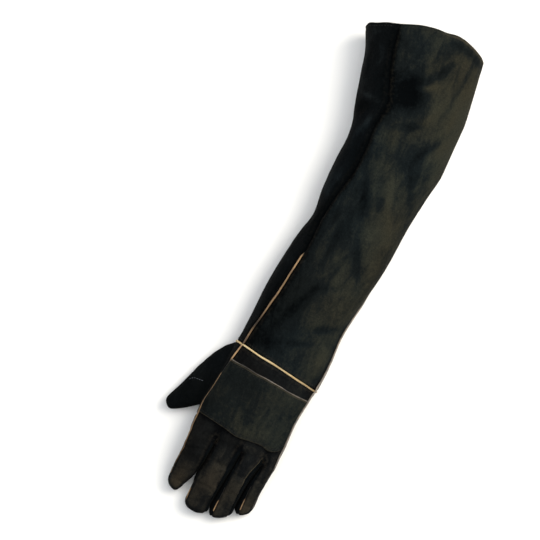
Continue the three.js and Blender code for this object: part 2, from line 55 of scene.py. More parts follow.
# The gauntlet and the hand down to the finger roots. left and right are the outline from above, mid
# that outline's height, top and under the highest and lowest leather, seam the thumb-side seam as
# seen from above, and low how many degrees below the outline the little finger's seam runs.
BODY_COLUMNS = ("y", "left", "right", "mid", "top", "under", "seam", "low")
BODY = np.array([
    (300, -78, 67, 43, 98, 0, -38, 40),
    (283, -73, 69, 43, 98, 0, -34, 42),
    (270, -67.5, 70.4, 43, 97, 0, -32, 44),
    (245, -57, 73.6, 42, 94, 0, -27, 46),
    (213, -49.6, 77.6, 40, 90, 0, -16.4, 46),
    (199, -46.8, 77.6, 39.5, 89, 0, -11.6, 45),
    (181, -42.4, 77, 39, 88, 0, -13.6, 44),
    (166, -38.4, 76.8, 38.5, 87, 0, -14.6, 43),
    (147, -36.8, 76.2, 38, 86, 0, -14, 42),
    (124, -38.6, 72, 37, 84, 0, -15, 40),
    (85, -38.8, 65.6, 36, 80, 0, -23, 36),
    (57, -36.4, 64.2, 35, 77, 0, -27, 32),
    (32, -42.6, 61.5, 35, 75, 0, -29, 27),
    (0, -48.5, 56, 34, 72, 0, -31.5, 16),
    (-36, -52.5, 49.5, 33, 69, 0, -36.5, -2),
    (-60, -53.6, 47.5, 32.5, 67, 0, -41, -11),
    (-86, -55, 48.6, 32, 65, 0, -46, -14),
    (-110, -57, 48, 31, 63, 0, -50, -15),
    (-137, -59.5, 43.4, 31, 60, 0.5, -56, -15),
    (-163, -63, 39.6, 31, 57, 3, -60.6, -15),
    (-180, -66, 39.5, 31.3, 55, 5, -63.8, -16),
    (-195, -66.2, 39.5, 31.8, 52, 9, -64.2, -17),
    (-207, -65.6, 38.2, 32.2, 49.5, 12.5, -63.8, -17),
    (-214, -65, 37.1, 32.5, 47, 16, -63, -17),
    (-220, -62, 35.8, 32.5, 42, 23, -60, -17),
])
TOP_SQUARENESS = 2.25
UNDER_SQUARENESS = 2.7
UNDER_FULLNESS = 1.06
UNDER_ROUNDING = 2  # where the sides turn to lie flat

# The cuff's rim: the middle of its sides, how much further the little finger's side reaches, how
# much the top's reach leans to that side, and how far the rim reaches on top and below.
CUFF = {"y": 277.5, "lean": 8, "skew": 2.5, "top": 21.5, "under": 6, "rounding": 1.8}
# The rim's small waves: the angle of each round the body, its width in degrees, and its reach.
RIM_WAVES = ((172, 18, 2), (156, 12, 2.2), (114, 14, -1.7), (100, 24, -3.2), (74, 9, -2.1))

# Dents and folds: the centre from above, length, width, the length's turn from +Y towards +X, and
# depth, negative for a ridge.
FOLDS = (
    (-36.5, 183, 24, 12, 38, 7.5),
    (-30, 199, 28, 6, 97, -4.6),
    (-24, 172, 46, 6.5, 23, -3.4),
    (-33, 152, 30, 7, 14, 2.6),
    (5, 221, 44, 34, -8, 6),
    (-48, 236, 44, 10, -12, 2.6),
    (20, 232, 40, 9, 62, -2.8),
    (38, 202, 50, 9, 20, -2.4),
    (30, 254, 44, 10, 36, 3),
    (55, 240, 76, 6, 6, 2.4),
    (63, 214, 60, 5, 2, -1.4),
    (52, 172, 50, 9, 30, 3),
    (12, 166, 48, 12, -8, -2.2),
    (22, 186, 34, 8, 66, 2.6),
    (-20, 128, 50, 9, -8, 2.6),
    (-32, 62, 34, 10, -20, 4.4),
    (8, 92, 76, 11, -18, 3.2),
    (36, 96, 70, 10, -22, -2.2),
    (52, 118, 50, 7, -24, 1.8),
    (-4, 38, 60, 11, 8, 2.4),
    (32, 20, 64, 11, -26, 2.6),
    (12, -14, 40, 8, 64, 1.8),
    (26, -58, 44, 10, 60, 2.8),
    (-12, -44, 60, 12, 24, 3.2),
    (4, -84, 34, 7, 70, 2.2),
)

# The same for the hand: the hollows between the knuckles, a pinch where middle and ring finger part, the
# knuckles themselves, and two shallow dents across the back.
HAND_FOLDS = (
    (-36, -211, 34, 13, 4, 3.6),
    (-8, -214, 26, 9, 6, 3.0),
    (-0.5, -221, 14, 3.4, 12, 2.2),
    (26, -214, 22, 9, -18, 3.2),
    (-52, -212, 30, 16, 0, -1.0),
    (-22, -206, 24, 16, 0, -1.2),
    (10, -205, 22, 14, 0, -1.2),
    (12, -150, 60, 16, 20, 1.2),
    (-30, -160, 54, 16, -14, 1.4),
)

# Where the nap is brushed dark or worn pale, and painted shade in two fold hollows, in the same order, with
# how much paler.
NAP_TONES_AND_SHADE = (
    (-30, 283, 16, 14, 0, 0.15),
    (0, 272, 40, 26, 0, -0.08),
    # These two darken as painted shade: the valley by the thumb-side seam and the elbow's dent.
    (6, 221, 46, 40, -8, -0.2),
    (-37, 184, 34, 20, 38, -0.2),
    (-45, 160, 60, 16, 0, -0.1),
    (58, 206, 60, 22, -8, 0.05),
    (48, 150, 70, 34, -20, -0.12),
    (5, 66, 70, 30, 0, -0.07),
    (-10, 22, 44, 24, 0, 0.16),
    (0, -72, 34, 26, 0, -0.05),
    (-22, -94, 22, 24, 0, -0.16),
    (36, -92, 34, 12, 12, 0.14),
    (0, -124, 60, 14, 65, -0.08),
    (-52, -222, 40, 24, 0, -0.12),
    (-56, -268, 30, 18, 0, 0.16),
    (-21, -237, 34, 16, 0, 0.16),
    (-18, -284, 24, 18, 0, -0.18),
    (4, -237, 30, 14, 0, -0.12),
    (8, -282, 24, 16, 0, -0.22),
    (26, -272, 24, 14, 0, 0.06),
)

# The fingers: the middle and half width at the root, the middle and the start of the tip, the
# thickness at root and tip, where the tip ends, how much it slants and how pointed it is.
FINGERS = (
    ("index", (-50.6, -51.6, -55.6), (14.2, 13.6, 10.8), (28, 23), -287.8, (0.5, 0.9)),
    ("middle", (-20.4, -22.6, -24.5), (14.6, 15, 14.9), (28, 24), -300, (0.05, 0.1)),
    ("ring", (8.6, 4.8, 3.4), (12.8, 11.9, 12.5), (27, 23), -295.5, (0.42, 0)),
    ("little", (30, 25.9, 25.4), (7.9, 8.9, 8.5), (25, 21), -282.5, (0.4, 0)),
)
STRIP_NAMES = ("side_strip_index_middle", "side_strip_middle_ring", "side_strip_ring_little")
FINGER_START = -196
FINGER_START_SIZE = (0.8, 0.55)  # shares of the width and thickness at the root
FINGER_ROOT = -222
FINGER_ROOT_HEIGHT = 32.5
PALM_END = -220
FINGER_SQUARENESS = 2.5
FINGER_BOW = 1.7
TIP_REACH = 12
TIP_LIFT = 0.3  # from the surface
TIP_SQUARENESS = 2.7
TIP_POINT = 2.6  # from the finger's middle
# Neighbouring fingers draw together between these two places, and each pair parts at a place of its own,
# over so many millimetres before and after it.
CLOSING = (-208, -219)
PARTED = (-265, -290, -280)
PARTING = 7
CLOSED_GAP = 0.2
GAP_LEAN = 0.16  # sideways, for each millimetre of height, so that no light falls straight through
LEAN_HEIGHT = 26  # where that starts from
OUTER_SEAM_RISE = 0.45  # of the half thickness, on the outer sides of the first and last finger
WEB_ROUNDING = 5
THUMB_ROUNDING = 8
# Of each half width, the share that is back or palm leather on the two sides of a strip.
STRIP_SHARES = ((0.9, 0.93), (0.76, 0.66), (0.68, 0.42))
CROTCHES = (-216, -212, -215)
SIDE_PIPING_END = -271

# The thumb from its tip back along its axis: reach to the outer and inner side, height, half thickness.
THUMB_COLUMNS = ("back", "outer", "inner", "z", "rise")
THUMB = np.array([
    (0, 0.4, 0.4, 13, 0.4),
    (0.5, 4.2, 3.4, 13, 3.6),
    (1.4, 6.2, 4.6, 13, 5.4),
    (4, 8.4, 6.2, 13, 7.8),
    (9, 10.4, 7.8, 13, 9.8),
    (18, 13.6, 10.2, 13.2, 11.4),
    (32, 19, 12.8, 13.6, 12.6),
    (50, 26.4, 15, 14.4, 13.6),
    (70, 33, 17, 16, 14.2),
    (88, 35, 14, 18, 14),
    (97, 32, 8, 19, 12),
    (103, 26, 2, 20, 9),
])
THUMB_TIP = (-99.5, -203.5)
THUMB_TURN = math.radians(46.6)
THUMB_BACK = np.array([math.cos(THUMB_TURN), math.sin(THUMB_TURN)])
THUMB_OUTER = np.array([-math.sin(THUMB_TURN), math.cos(THUMB_TURN)])
THUMB_SQUARENESS = 2.4
THUMB_SEAM_HEIGHT = 13.6

# Lines across the hand from above: the place at x = 0 and the slope.
WRIST = (-116.6, -0.157)
PATCH_TOP = (-134.6, -0.1)
# The patch's lower edge, as cut by hand, a little wavy.
PATCH_END = np.array([(-70, -195), (-64, -196), (-41, -199.5), (-17, -204), (-3, -204), (15, -203),
                      (25, -205), (32, -203), (37, -198), (44, -195)])


# Curves and noise
def smooth_table(places, values):
    """A smooth curve through a table's values, held level past its ends."""
    order = np.argsort(places)
    xs, vs = np.asarray(places, float)[order], np.asarray(values, float)[order]
    slopes = np.empty_like(vs)
    slopes[1:-1] = (vs[2:] - vs[:-2]) / (xs[2:] - xs[:-2])
    slopes[0] = (vs[1] - vs[0]) / (xs[1] - xs[0])
    slopes[-1] = (vs[-1] - vs[-2]) / (xs[-1] - xs[-2])

    def at(x):
        x = np.clip(x, xs[0], xs[-1])
        i = np.clip(np.searchsorted(xs, x, side="right") - 1, 0, len(xs) - 2)
        step = xs[i + 1] - xs[i]
        t = (x - xs[i]) / step
        return ((2 * t**3 - 3 * t**2 + 1) * vs[i] + (t**3 - 2 * t**2 + t) * slopes[i] * step
                + (3 * t**2 - 2 * t**3) * vs[i + 1] + (t**3 - t**2) * slopes[i + 1] * step)
    return at


body = {name: smooth_table(BODY[:, 0], BODY[:, i]) for i, name in enumerate(BODY_COLUMNS) if i}
thumb = {name: smooth_table(np.sqrt(THUMB[:, 0]), THUMB[:, i]) for i, name in enumerate(THUMB_COLUMNS) if i}
patch_end = smooth_table(PATCH_END[:, 0], PATCH_END[:, 1])


def line_at(line, x):
    return line[0] + line[1] * x


def mix(a, b, share):
    return a + (b - a) * share


def smooth_step(low, high, x):
    t = np.clip((x - low) / (high - low), 0, 1)
    return t * t * (3 - 2 * t)


def hump(distance, width):
    """1 at no distance, falling away smoothly over this width."""
    return np.exp(-(distance / width) ** 2)


def soft_max(a, b, width):
    """The larger of two values, rounded where they meet."""
    blend = np.clip(width - np.abs(a - b), 0, None)
    return np.maximum(a, b) + blend**2 / (4 * width)


def soft_min(a, b, width):
    return -soft_max(-a, -b, width)


def unit(ways):
    """Each of these ways at length 1."""
    return ways / np.maximum(np.linalg.norm(ways, axis=-1, keepdims=True), 1e-9)


def signed_power(value, power):
    return np.sign(value) * np.abs(value) ** power


def soft_noise(points, size, seed):
    """Smooth values from about -1 to 1 that change over about size millimetres."""
    rng = np.random.default_rng(seed)
    cells, strength = 24, 1.6
    lattice = rng.uniform(-strength, strength, (cells, cells, cells))
    turn, _ = np.linalg.qr(rng.normal(size=(3, 3)))
    at = points @ turn / size + 100
    cell = np.floor(at).astype(int)
    t = at - cell
    t = t * t * (3 - 2 * t)
    total = 0
    for corner in itertools.product((0, 1), repeat=3):
        share = np.prod(np.where(np.array(corner) == 1, t, 1 - t), axis=-1)
        i = (cell + corner) % cells
        total = total + share * lattice[i[..., 0], i[..., 1], i[..., 2]]
    return total


# The shapes that the glove follows
def fold_depth(x, y, folds=FOLDS):
    """How deep the leather lies in the folds of a table, at each place seen from above."""
    total = 0
    for fx, fy, length, width, turn, depth in folds:
        dx, dy, a = x - fx, y - fy, math.radians(turn)
        along = (dy * math.cos(a) + dx * math.sin(a)) / (length / 2)
        across = (dx * math.cos(a) - dy * math.sin(a)) / (width / 2)
        total = total + depth * np.exp(-(along**2 + across**2))
    return total


def body_point(y, angle, inset=0.0):
    """The point of the body at a place y and an angle round it, 0 at the little finger's side and 90
    on top, moved inwards by inset."""
    y, angle, inset = np.broadcast_arrays(np.asarray(y, float), angle, inset)
    left, right = body["left"](y), body["right"](y)
    mid, top, under = (np.maximum(body[name](y), 0) for name in ("mid", "top", "under"))
    c, s = np.cos(np.radians(angle)), np.sin(np.radians(angle))
    upper = s >= 0
    power = np.where(upper, 2 / TOP_SQUARENESS, 2 / UNDER_SQUARENESS)
    x = (left + right) / 2 + ((right - left) / 2 - inset) * signed_power(c, power)
    pushed = fold_depth(x, y) * np.clip(2 * s, 0, 1)
    rise = np.where(upper, top - mid - inset - pushed, (mid - under) * UNDER_FULLNESS - inset)
    z = mid + rise * signed_power(s, power)
    return np.stack([x, y, soft_max(z, under + inset, UNDER_ROUNDING)], axis=-1)


def degrees_for(y, angle, arc):
    """The degrees round the body that an arc of leather takes."""
    step = np.linalg.norm(body_point(y, angle + 0.5) - body_point(y, angle - 0.5), axis=-1)
    return arc / step


def thumb_seam_angle(y):
    """The angle round the body at which the thumb-side seam runs."""
    left, right, seam = body["left"](y), body["right"](y), body["seam"](y)
    share = np.clip(np.abs((seam - (left + right) / 2) / ((right - left) / 2)), 0, 1)
    return 180 - np.degrees(np.arccos(share ** (TOP_SQUARENESS / 2)))


def little_seam_angle(y):
    return -body["low"](y)


def rim_at(angle):
    """How far the cuff reaches along +Y at an angle round the body."""
    c, s = np.cos(np.radians(angle)), np.sin(np.radians(angle))
    side = CUFF["y"] + CUFF["lean"] * c
    over = CUFF["top"] * np.abs(s) ** CUFF["rounding"] + 2 * CUFF["skew"] * s * c
    around = (angle + 90) % 360 - 90
    waves = sum(reach * hump(around - middle, width) for middle, width, reach in RIM_WAVES)
    return side + waves + np.where(s > 0, over, CUFF["under"] * s)


def finger_section(finger, y):
    """A finger's middle, half width, height and half thickness at a place y, before its tip rounds."""
    _, xs, halves, thick, tip, _ = finger
    inside = np.clip((FINGER_START - y) / (FINGER_START - FINGER_ROOT), 0, 1)
    tip_start = tip + TIP_REACH
    share = np.clip((FINGER_ROOT - y) / (FINGER_ROOT - tip_start), 0, 1)
    drop = share**2 * (FINGER_BOW - (FINGER_BOW - 1) * share)
    x = smooth_table((0, 0.5, 1), xs)(share)
    half = smooth_table((0, 0.5, 1), halves)(share) * mix(FINGER_START_SIZE[0], 1, inside)
    rise = mix(thick[0], thick[1], share) / 2 * mix(FINGER_START_SIZE[1], 1, inside)
    return x, half, mix(FINGER_ROOT_HEIGHT, thick[1] / 2 + TIP_LIFT, drop), rise


def oval_field(across, up, squareness, past=0.0, past_size=1.0):
    """About how far outside a squarish oval a place is. across and up are (distance, half size) pairs,
    and past is how far the place lies beyond the start of a rounded tip."""
    parts = [np.abs(distance / half) ** squareness for distance, half in (across, up)]
    share = (parts[0] + parts[1]) ** (1 / squareness)
    total = (share**TIP_SQUARENESS + (past / past_size) ** TIP_SQUARENESS) ** (1 / TIP_SQUARENESS) + 1e-6
    return np.sqrt(across[0] ** 2 + up[0] ** 2 + past**2) * (1 - 1 / total)


def palm_field(p):
    x, y, z = p[..., 0], p[..., 1], p[..., 2]
    left, right, mid, top = (body[name](y) for name in ("left", "right", "mid", "top"))
    under = np.maximum(body["under"](y), 0)
    up = z >= mid
    rise = np.where(up, top - mid, (mid - under) * UNDER_FULLNESS)
    squareness = np.where(up, TOP_SQUARENESS, UNDER_SQUARENESS)
    d = oval_field((x - (left + right) / 2, (right - left) / 2), (z - mid, rise), squareness)
    return soft_max(soft_max(d, under - z, UNDER_ROUNDING), PALM_END - y, 4)


def finger_field(finger, p):
    x, half, z, rise = finger_section(finger, p[..., 1])
    slant, pointed = finger[5]
    across = p[..., 0] - x
    early = slant * across + pointed * (np.hypot(across - TIP_POINT, 2) - 2)
    past = np.clip(finger[4] + TIP_REACH - p[..., 1] + early, 0, None)
    d = oval_field((p[..., 0] - x, half), (p[..., 2] - z, rise), FINGER_SQUARENESS, past, TIP_REACH)
    return np.maximum(d, p[..., 1] - FINGER_START)


def thumb_field(p):
    flat = p[..., :2] - np.array(THUMB_TIP)
    back, across = flat @ THUMB_BACK, flat @ THUMB_OUTER
    at = np.sqrt(np.clip(back, 0, None))
    reach = np.where(across > 0, thumb["outer"](at), thumb["inner"](at))
    up = p[..., 2] - thumb["z"](at)
    d = oval_field((across, reach), (up, thumb["rise"](at)), THUMB_SQUARENESS)
    d = np.where(back < 0, np.sqrt(across**2 + up**2 + back**2), d)
    return np.maximum(d, back - THUMB[-1, 0])


# The fingers lie so close that a grid would join them. They are worked out apart, in a space where each
# has moved sideways, and put back afterwards.
SPREAD = 3.6


def spread_at(y):
    return SPREAD * smooth_step(-200, -217, y)


def together(parted, y):
    """1 where two neighbouring fingers lie together, and 0 where they are apart."""
    return smooth_step(*CLOSING, y) * smooth_step(parted - PARTING, parted + PARTING, y)


def finger_sides(y):
    """The sides of the four fingers from above, in order."""
    sections = [finger_section(finger, y) for finger in FINGERS]
    return [side for x, half, _, _ in sections for side in (x - half, x + half)]


def closed_sides(y):
    """The same, with neighbours drawn together down to where their tips part."""
    sides = finger_sides(y)
    for i, parted in enumerate(PARTED):
        right, left = sides[2 * i + 1], sides[2 * i + 2]
        half = np.maximum(mix(left - right, CLOSED_GAP, together(parted, y)), CLOSED_GAP) / 2
        sides[2 * i + 1], sides[2 * i + 2] = (left + right) / 2 - half, (left + right) / 2 + half
    return sides


def narrowed(p):
    """Where a place of the spread hand lies on the real one."""
    x, y = p[..., 0], p[..., 1]
    moved = [side + (k // 2 - 1.5) * spread_at(y) for k, side in enumerate(finger_sides(y))]
    real = closed_sides(y)
    for i, parted in enumerate(PARTED):
        lean = GAP_LEAN * (p[..., 2] - LEAN_HEIGHT) * together(parted, y)
        for k in (2 * i + 1, 2 * i + 2):
            real[k] = real[k] + lean
    result = x - moved[0] + real[0]
    for k in range(len(real) - 1):
        share = np.clip((x - moved[k]) / np.maximum(moved[k + 1] - moved[k], 1e-3), 0, 1)
        result = np.where(x >= moved[k], mix(real[k], real[k + 1], share), result)
    result = np.where(x >= moved[-1], x - moved[-1] + real[-1], result)
    return np.stack([result, y, p[..., 2]], axis=-1)


def hand_field(p):
    """Below zero inside the hand, at a place p of the spread hand."""
    real = narrowed(p)
    spread = spread_at(p[..., 1])
    sideways = np.stack([spread, 0 * spread, 0 * spread], axis=-1)
    fingers = np.minimum.reduce([finger_field(finger, p - (i - 1.5) * sideways)
                                 for i, finger in enumerate(FINGERS)])
    d = soft_min(palm_field(real), fingers, WEB_ROUNDING)
    return soft_min(d, thumb_field(real), THUMB_ROUNDING)


def seam_height(p):
    """The height of the seam between back and palm at each place seen from above."""
    x, y = p[..., 0], p[..., 1]
    near = np.maximum(y, FINGER_ROOT)
    thumb_side = body_point(near, thumb_seam_angle(near))
    little_side = body_point(near, little_seam_angle(near))
    share = (x - thumb_side[..., 0]) / (little_side[..., 0] - thumb_side[..., 0])
    on_palm = mix(thumb_side[..., 2], little_side[..., 2], share)
    middles = [finger_section(finger, np.maximum(y, finger[4])) for finger in FINGERS]
    on_fingers = middles[0][2]
    for (x0, _, z0, _), (x1, _, z1, _) in zip(middles, middles[1:]):
        on_fingers = np.where(x > x0, mix(z0, z1, np.clip((x - x0) / (x1 - x0), 0, 1)), on_fingers)
    for way, (middle, half, _, rise) in ((-1, middles[0]), (1, middles[-1])):
        outwards = smooth_step(0.2, 0.8, way * (x - middle) / half)
        on_fingers = on_fingers + OUTER_SEAM_RISE * rise * outwards
    return mix(on_fingers, on_palm, smooth_step(FINGER_ROOT - 6, FINGER_ROOT + 18, y))


def side_line(p):
    """Above zero on the back of the hand, below it on the palm side."""
    return p[..., 2] - seam_height(p)


def strip_edges(i, y):
    """From above, the two edges of the strip between a finger and its neighbour."""
    tip = max(FINGERS[i][4], FINGERS[i + 1][4]) + TIP_REACH
    sides = closed_sides(np.maximum(y, tip - 6))
    left, right = sides[2 * i:2 * i + 2], sides[2 * i + 2:2 * i + 4]
    low = left[1] - (1 - STRIP_SHARES[i][0]) * (left[1] - left[0]) / 2
    high = right[0] + (1 - STRIP_SHARES[i][1]) * (right[1] - right[0]) / 2
    open_to = smooth_step(-6, 24, CROTCHES[i] - y) * np.sqrt(np.clip((CROTCHES[i] - y) / 5, 0, 1))
    middle, half = (low + high) / 2, (high - low) / 2 * open_to
    return middle - half, middle + half


def strip_line(i):
    """Below zero in the strip between finger i and its neighbour."""
    def field(p):
        low, high = strip_edges(i, p[..., 1])
        beside = np.maximum(low - p[..., 0], p[..., 0] - high)
        return np.where(p[..., 1] > CROTCHES[i], np.maximum(beside, p[..., 1] - CROTCHES[i]), beside)
    return field


SEAM_YS = np.linspace(-98, -197, 12)
SEAM_XS = body_point(SEAM_YS, thumb_seam_angle(SEAM_YS))[:, 0]
THUMB_EDGE = smooth_table([*SEAM_YS, -201, -216, -226], [*SEAM_XS, -68, -74, -90])


def thumb_line(p):
    """Below zero on the thumb's side of its seam with the palm."""
    return p[..., 0] - THUMB_EDGE(p[..., 1])


def thumb_split_line(p):
    """Above zero on the thumb's back."""
    return p[..., 2] - THUMB_SEAM_HEIGHT


def wrist_line(p):
    """Above zero on the gauntlet's side of the wrist seam."""
    return p[..., 1] - line_at(WRIST, p[..., 0])


# Mesh tools
def zero_surface(field, low, high, cell):
    """Points and triangles over a field's zero level, with one point in each grid cell that it crosses."""
    low = np.asarray(low, float)
    counts = np.ceil((np.asarray(high) - low) / cell).astype(int) + 1
    axes = [low[a] + cell * np.arange(counts[a]) for a in range(3)]
    values = field(np.stack(np.meshgrid(*axes, indexing="ij"), axis=-1))
    inside = values < 0
    shape = counts - 1
    corners = list(itertools.product((0, 1), repeat=3))

    def at_corner(array, c):
        return array[c[0]:c[0] + shape[0], c[1]:c[1] + shape[1], c[2]:c[2] + shape[2]]
    filled = sum(at_corner(inside, c).astype(int) for c in corners)
    active = (filled > 0) & (filled < 8)
    index = np.full(shape, -1)
    index[active] = np.arange(active.sum())
    total, hits = np.zeros((active.sum(), 3)), np.zeros(active.sum())
    for c, axis in itertools.product(corners, range(3)):
        if c[axis]:
            continue
        across = tuple(1 if a == axis else c[a] for a in range(3))
        a, b = at_corner(values, c)[active], at_corner(values, across)[active]
        cross = (a < 0) != (b < 0)
        place = np.tile(np.array(c, float), (len(a), 1))
        place[:, axis] = np.where(cross, a / np.where(cross, a - b, 1), 0)
        total += place * cross[:, None]
        hits += cross
    points = low + cell * (np.argwhere(active) + total / hits[:, None])
    quads = []
    for axis in range(3):
        order = (axis, (axis + 1) % 3, (axis + 2) % 3)
        side, cells = inside.transpose(order), index.transpose(order)
        i, j, k = np.nonzero(side[:-1, 1:-1, 1:-1] != side[1:, 1:-1, 1:-1])
        around = ((j, k), (j + 1, k), (j + 1, k + 1), (j, k + 1))
        quad = np.stack([cells[i, a, b] for a, b in around], axis=1)
        first_inside = side[:-1, 1:-1, 1:-1][i, j, k]
        quads.append(np.where(first_inside[:, None], quad, quad[:, ::-1]))
    return points, as_triangles(points, np.concatenate(quads))


def as_triangles(points, quads):
    """Quads split along their shorter diagonals."""
    a, b, c, d = (points[quads[:, i]] for i in range(4))
    short = np.linalg.norm(a - c, axis=1) < np.linalg.norm(b - d, axis=1)
    first = np.where(short[:, None], quads[:, [0, 1, 2]], quads[:, [0, 1, 3]])
    second = np.where(short[:, None], quads[:, [0, 2, 3]], quads[:, [1, 2, 3]])
    return np.concatenate([first, second])


def gradient(field, points, reach=0.35):
    steps = reach * np.eye(3)
    return np.stack([(field(points + s) - field(points - s)) / (2 * reach) for s in steps], axis=-1)


def settled(points, field, passes=3):
    """Points moved onto a field's zero level."""
    for _ in range(passes):
        slope = gradient(field, points)
        move = field(points) / np.maximum((slope**2).sum(-1), 0.2)
        points = points - slope * np.clip(move, -0.9, 0.9)[:, None]
    return points


def vertex_normals(points, faces):
    a, b, c = (points[faces[:, i]] for i in range(3))
    weights = np.repeat(np.cross(b - a, c - a), 3, axis=0)
    return unit(np.stack([np.bincount(faces.ravel(), weights[:, k], len(points)) for k in range(3)], axis=1))


def compact(rows, faces):
    """The same mesh without the points that no face uses."""
    used, renumbered = np.unique(faces, return_inverse=True)
    return rows[used], renumbered.reshape(faces.shape)


def split(rows, faces, values):
    """Cuts a mesh of triangles where values pass zero, and returns the side below zero and the other.
    rows holds each vertex's place and whatever else goes with it."""
    values = np.where(np.abs(values) < 1e-4, 1e-4, values)
    over = values[faces] > 0
    count = over.sum(axis=1)
    mixed = (count > 0) & (count < 3)
    tri, sides = faces[mixed], over[mixed]
    lone_over = sides.sum(axis=1) == 1
    lone = np.where(lone_over, sides.argmax(axis=1), (~sides).argmax(axis=1))
    row = np.arange(len(tri))
    a, b, c = (tri[row, (lone + k) % 3] for k in range(3))
    ends = np.sort(np.concatenate([np.stack([a, b], 1), np.stack([a, c], 1)]), axis=1)
    edges, place = np.unique(ends, axis=0, return_inverse=True)
    place = place.reshape(-1)
    v0, v1 = values[edges[:, 0]], values[edges[:, 1]]
    fresh = mix(rows[edges[:, 0]], rows[edges[:, 1]], (v0 / (v0 - v1))[:, None])
    ab, ac = len(rows) + place[:len(tri)], len(rows) + place[len(tri):]
    tip = np.stack([a, ab, ac], 1)
    rest = [np.stack([ab, b, c], 1), np.stack([ab, c, ac], 1)]
    rows = np.concatenate([rows, fresh])
    below = [faces[count == 0], tip[~lone_over]] + [r[lone_over] for r in rest]
    above = [faces[count == 3], tip[lone_over]] + [r[~lone_over] for r in rest]
    return compact(rows, np.concatenate(below)), compact(rows, np.concatenate(above))


def edge_of(faces):
    """The directed edges that only one face has."""
    ends = np.stack([faces.T, np.roll(faces, -1, axis=1).T], axis=-1).reshape(-1, 2)
    size = faces.max() + 1
    keys, back = ends[:, 0] * size + ends[:, 1], ends[:, 1] * size + ends[:, 0]
    return ends[~np.isin(keys, back)]


def wall(outer, faces, inner):
    """A closed wall from an outer skin, an inner one with the same faces, and strips round each edge."""
    n = len(outer)
    edges = edge_of(faces)
    strips = np.stack([edges[:, 1], edges[:, 0], edges[:, 0] + n, edges[:, 1] + n], axis=1)
    return np.concatenate([outer, inner]), [faces, faces[:, ::-1] + n, strips]


def grid_faces(rows, columns, wrap=False):
    """Quads over a grid of points, facing columns-direction cross rows-direction."""
    i, j = np.meshgrid(np.arange(rows - 1), np.arange(columns if wrap else columns - 1), indexing="ij")
    beside = (j + 1) % columns
    return np.stack([i * columns + j, i * columns + beside, (i + 1) * columns + beside,
                     (i + 1) * columns + j], axis=-1).reshape(-1, 4)


def grid_normals(grid, wrap=False):
    if wrap:
        around = np.roll(grid, -1, axis=1) - np.roll(grid, 1, axis=1)
    else:
        around = np.gradient(grid, axis=1)
    return unit(np.cross(around, np.gradient(grid, axis=0)))


def mesh_of(name, points, ends=(), faces=(), marks=None):
    """A mesh in metres from places in the glove's own millimetres. marks are named values at its points."""
    mesh = bpy.data.meshes.new(name)
    mesh.from_pydata(((np.asarray(points) + PLACE) / 1000).tolist(), ends, faces)
    for mark, values in (marks or {}).items():
        mesh.attributes.new(mark, "FLOAT", "POINT").data.foreach_set("value", np.asarray(values, np.float32))
    return mesh


def in_scene(name, data):
    """A new object in the scene."""
    made = bpy.data.objects.new(name, data)
    bpy.context.scene.collection.objects.link(made)
    return made


def finish(mesh, nodes=()):
    """Makes a mesh a piece of the glove, in place of CAD nodes where it stands for any."""
    piece = in_scene(mesh.name, mesh)
    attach(piece, "root")
    if nodes:
        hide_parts(*nodes)


def add_piece(name, points, face_lists, material, nodes, marks):
    """Makes a piece of leather from points and lists of faces."""
    faces = [face for faces in face_lists for face in np.asarray(faces).tolist()]
    mesh = mesh_of(name, points, (), faces, marks)
    mesh.polygons.foreach_set("use_smooth", [True] * len(faces))
    mesh.set_sharp_from_angle(angle=SHARP_ANGLE)
    mesh.materials.append(material)
    finish(mesh, nodes)


def evened(line, step, passes=3):
    """An open line of places with even steps, its small jags smoothed."""
    line = np.asarray(line, float)
    for _ in range(passes):
        line[1:-1] = (line[:-2] + 2 * line[1:-1] + line[2:]) / 4
    along = np.concatenate([[0], np.cumsum(np.linalg.norm(np.diff(line[:, :3], axis=0), axis=1))])
    at = np.linspace(0, along[-1], max(int(along[-1] / step), 2) + 1)
    return np.stack([np.interp(at, along, line[:, k]) for k in range(line.shape[1])], axis=1)


# Materials
def linear(text):
    """The linear colour of an sRGB hex value."""
    parts = [int(text[i:i + 2], 16) / 255 for i in (1, 3, 5)]
    return tuple(c / 12.92 if c <= 0.04045 else ((c + 0.055) / 1.055) ** 2.4 for c in parts) + (1.0,)


def each(size):
    """The scale of a pattern whose features are this many millimetres apart."""
    return 1000 / size


def add(tree, kind, inputs=None, stops=(), **settings):
    """Adds a node, sets its properties, joins or fills its inputs by name or number, and gives a colour
    ramp its stops, as (place, linear colour)."""
    made = tree.nodes.new(kind)
    for key, value in settings.items():
        setattr(made, key, value)
    for key, value in (inputs or {}).items():
        if isinstance(value, bpy.types.NodeSocket):
            tree.links.new(value, made.inputs[key])
        else:
            made.inputs[key].default_value = value
    for _ in stops[2:]:
        made.color_ramp.elements.new(0.5)
    for k, (place, colour) in enumerate(stops):
        made.color_ramp.elements[k].position, made.color_ramp.elements[k].color = place, colour
    return made


def new_material(name):
    """An empty material, its tree of nodes, and each place on the object in metres."""
    material = bpy.data.materials.new(name)
    material.use_nodes = True
    tree = material.node_tree
    tree.nodes.clear()
    return material, tree, add(tree, "ShaderNodeTexCoord").outputs["Object"]


